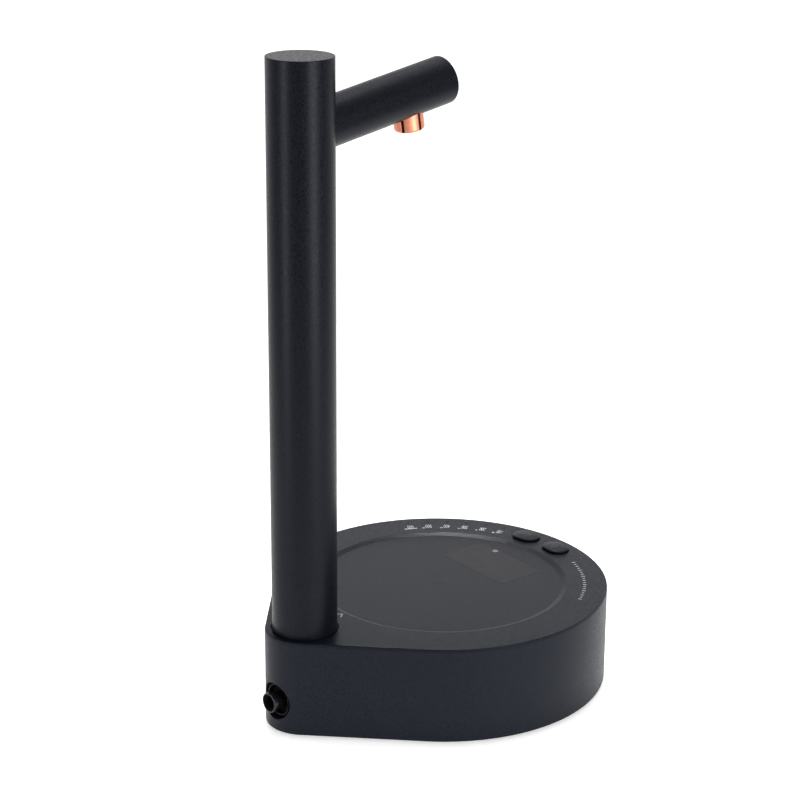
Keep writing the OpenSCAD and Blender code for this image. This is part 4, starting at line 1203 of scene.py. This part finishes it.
def inlet():
    """The recessed collar in the rear wall and the glossy nipple with its bead and mouth."""
    place = basis((0, INLET_TIP, INLET_Z), (1, 0, 0), (0, 1, 0))
    collar_low, collar_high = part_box("inlet_collar")
    face = collar_high.y - INLET_TIP
    flange = collar_low.y - INLET_TIP
    flange_l = 2.5 * MM
    collar_r = INLET_HOLE_R - 0.6 * MM
    bore_r = collar_r - 1.4 * MM
    thread_r = 5.6 * MM
    collar = fillet(
        [
            (thread_r, flange),
            (INLET_HOLE_R + 0.6 * MM, flange),
            (INLET_HOLE_R + 0.6 * MM, flange + flange_l),
            (collar_r, flange + flange_l),
            (collar_r, face, 0.35 * MM),
            (bore_r, face, 0.35 * MM),
            (bore_r, flange + flange_l),
            (thread_r, flange + flange_l),
        ],
        steps=5,
        closed=True,
    )
    bm = revolve(collar, place, 144, closed=True)
    # The collar's inner front edge gets the brighter copy as a painted highlight; the rest gets the
    # near-black painted shade.
    front = collar_high.y - 0.4 * MM
    for ring_face in bm.faces:
        centre = ring_face.calc_center_median()
        inside = math.hypot(centre.x, centre.z - INLET_Z) < bore_r + 0.6 * MM
        ring_face.material_index = 1 if centre.y > front and inside else 0
    looks = [inlet_painted_shade, collar_painted_highlight]
    piece(bm, "inlet_collar_ring", "base", looks, ["inlet_collar"])
    bead = 5.1 * MM
    bead_l = 3 * MM
    neck = 4.2 * MM
    neck_l = 5.6 * MM
    throat = neck - 1.1 * MM
    disc = -bead_l - neck_l
    disc_r = bore_r - 0.2 * MM
    disc_l = 2 * MM
    low = inlet_low.y - INLET_TIP
    barb = 2.5 * MM
    barb_bore = 1.5 * MM
    thread = 5.5 * MM
    back = disc - disc_l
    nut_end = low + 10 * MM
    nipple = fillet(
        [
            (throat, -1.6 * MM, 0.3 * MM),
            (bead - 0.7 * MM, 0, 0.3 * MM),
            (bead, 0, 0.5 * MM),
            (bead, -bead_l, 0.5 * MM),
            (neck, -bead_l - 0.1 * MM, 0.2 * MM),
            (neck, disc, 0.4 * MM),
            (disc_r, disc, 0.3 * MM),
            (disc_r, back),
            (thread, back),
            (thread, nut_end),
            (barb, nut_end),
            (barb, low, 0.3 * MM),
            (barb_bore, low, 0.2 * MM),
            (barb_bore, back),
            (throat, back),
        ],
        steps=5,
        closed=True,
    )
    bm = revolve(nipple, place, 144, closed=True)
    # The bore, the mouth's lip and the disc behind the bead get the near-black plastic: painted
    # shade.
    for side in bm.faces:
        centre = side.calc_center_median()
        off_axis = math.hypot(centre.x, centre.z - INLET_Z)
        bore_wall = off_axis < throat + 0.05 * MM
        inner_disc = off_axis > bead + MM
        mouth = off_axis < bead - 0.6 * MM and centre.y > INLET_TIP - 2.5 * MM
        disc_front = off_axis > neck + 0.2 * MM and centre.y < INLET_TIP - bead_l - MM
        side.material_index = 1 if bore_wall or inner_disc or mouth or disc_front else 0
    looks = [gloss_black, inlet_painted_shade]
    piece(bm, "inlet_nipple_body", "base", looks, ["inlet_nipple"])


base_housing()
top_cover()
for button_name in BUTTONS:
    button_mark(button_name, button(button_name))
deck_marks()
light_numbers()
film_dot()
film_edge()
column()
spout()
nozzle()
inlet()

# ---- Floor, light and camera ----


def floor_material():
    """Pale paper that glows a little, in place of the light that a white room throws back."""
    made = Surface("pale_floor", (0.93, 0.93, 0.93), 0.9)
    made.set(Emission_Color=(1, 1, 1, 1), Emission_Strength=0.5)
    made.mottle(30 * MM, 0.004)
    made.bump(2 * MM, 0.01 * MM, strength=0.2)
    return made.material


FLOOR_R = 0.65
FAR_SIDE = Vector((0.72, -0.63, 0.28)).normalized()
DIM = 0.22
BRIGHT = 1.0


def surround():
    """Light from white paper behind the object, fading to a dim studio on the viewer's side.

    The camera itself sees plain white all round.
    """
    world = bpy.data.worlds.new("surround")
    world.use_nodes = True
    tree = world.node_tree
    add = tree.nodes.new
    link = tree.links.new
    where = add("ShaderNodeTexCoord")
    toward = add("ShaderNodeVectorMath")
    toward.operation = "DOT_PRODUCT"
    toward.inputs[1].default_value = FAR_SIDE
    link(where.outputs["Generated"], toward.inputs[0])
    fade = add("ShaderNodeMapRange")
    fade.interpolation_type = "SMOOTHSTEP"
    fade.inputs["From Min"].default_value = -0.35
    fade.inputs["From Max"].default_value = 0.75
    fade.inputs["To Min"].default_value = DIM
    fade.inputs["To Max"].default_value = BRIGHT
    link(toward.outputs["Value"], fade.inputs["Value"])
    parts = add("ShaderNodeSeparateXYZ")
    link(where.outputs["Generated"], parts.inputs["Vector"])
    height = add("ShaderNodeMapRange")
    height.inputs["From Min"].default_value = 0.20
    height.inputs["From Max"].default_value = 0.60
    height.inputs["To Min"].default_value = 1.25
    height.inputs["To Max"].default_value = 0.70
    link(parts.outputs["Z"], height.inputs["Value"])
    both = add("ShaderNodeMath")
    both.operation = "MULTIPLY"
    link(fade.outputs["Result"], both.inputs[0])
    link(height.outputs["Result"], both.inputs[1])
    path = add("ShaderNodeLightPath")
    seen = add("ShaderNodeMath")
    seen.operation = "MAXIMUM"
    link(path.outputs["Is Camera Ray"], seen.inputs[0])
    link(both.outputs["Value"], seen.inputs[1])
    background = tree.nodes["Background"]
    background.inputs["Color"].default_value = (1, 1, 1, 1)
    link(seen.outputs["Value"], background.inputs["Strength"])
    bpy.context.scene.world = world


def stage():
    """A pale round table under the object."""
    bm = bmesh.new()
    bmesh.ops.create_circle(bm, cap_ends=True, radius=FLOOR_R, segments=96)
    floor = loose_object(bm, "floor")
    floor.data.materials.append(floor_material())
    surround()


def softbox(name, place, aim, width, height, power, spread=180):
    """A large soft light that points at a place."""
    light = bpy.data.lights.new(name, "AREA")
    light.shape = "RECTANGLE"
    light.size = width
    light.size_y = height
    light.energy = power
    light.spread = math.radians(spread)
    made = bpy.data.objects.new(name, light)
    bpy.context.scene.collection.objects.link(made)
    made.location = place
    made.rotation_euler = (Vector(aim) - Vector(place)).to_track_quat("-Z", "Y").to_euler()


def camera():
    """The photograph's viewpoint: behind and to the left, a little above."""
    place = Vector((-0.77306, 0.69855, 0.50387))
    yaw = 3.9885838
    pitch = 0.3242456
    roll = 0.006389
    flat = math.cos(pitch)
    back = Vector((math.sin(yaw) * flat, -math.cos(yaw) * flat, math.sin(pitch)))
    right = (-back).cross(UP).normalized()
    up = right.cross(-back)
    rolled_right = math.cos(roll) * right + math.sin(roll) * up
    rolled_up = -math.sin(roll) * right + math.cos(roll) * up
    data = bpy.data.cameras.new("camera")
    data.lens = 97.84
    data.sensor_width = 36
    data.clip_start = 0.01
    made = bpy.data.objects.new("camera", data)
    bpy.context.scene.collection.objects.link(made)
    turn = Matrix((rolled_right, rolled_up, back)).transposed().to_4x4()
    made.matrix_world = Matrix.Translation(place) @ turn
    bpy.context.scene.camera = made


stage()
camera()
softbox("side_right", (-1.7, -0.04, 0.1), (0, 0, 0.15), 0.7, 2.0, 34)
softbox("side_left", (0.09, 1.78, 0.1), (0, 0, 0.15), 0.5, 2.0, 20)
softbox("overhead", (0.62, -0.49, 1.48), (0.045, -0.055, 0.05), 0.22, 0.22, 0.17, 16)
softbox("overhead_wide", (0.12, -0.12, 1.7), (0, 0, 0.3), 0.55, 0.55, 14)
bpy.context.scene.view_settings.view_transform = "Standard"
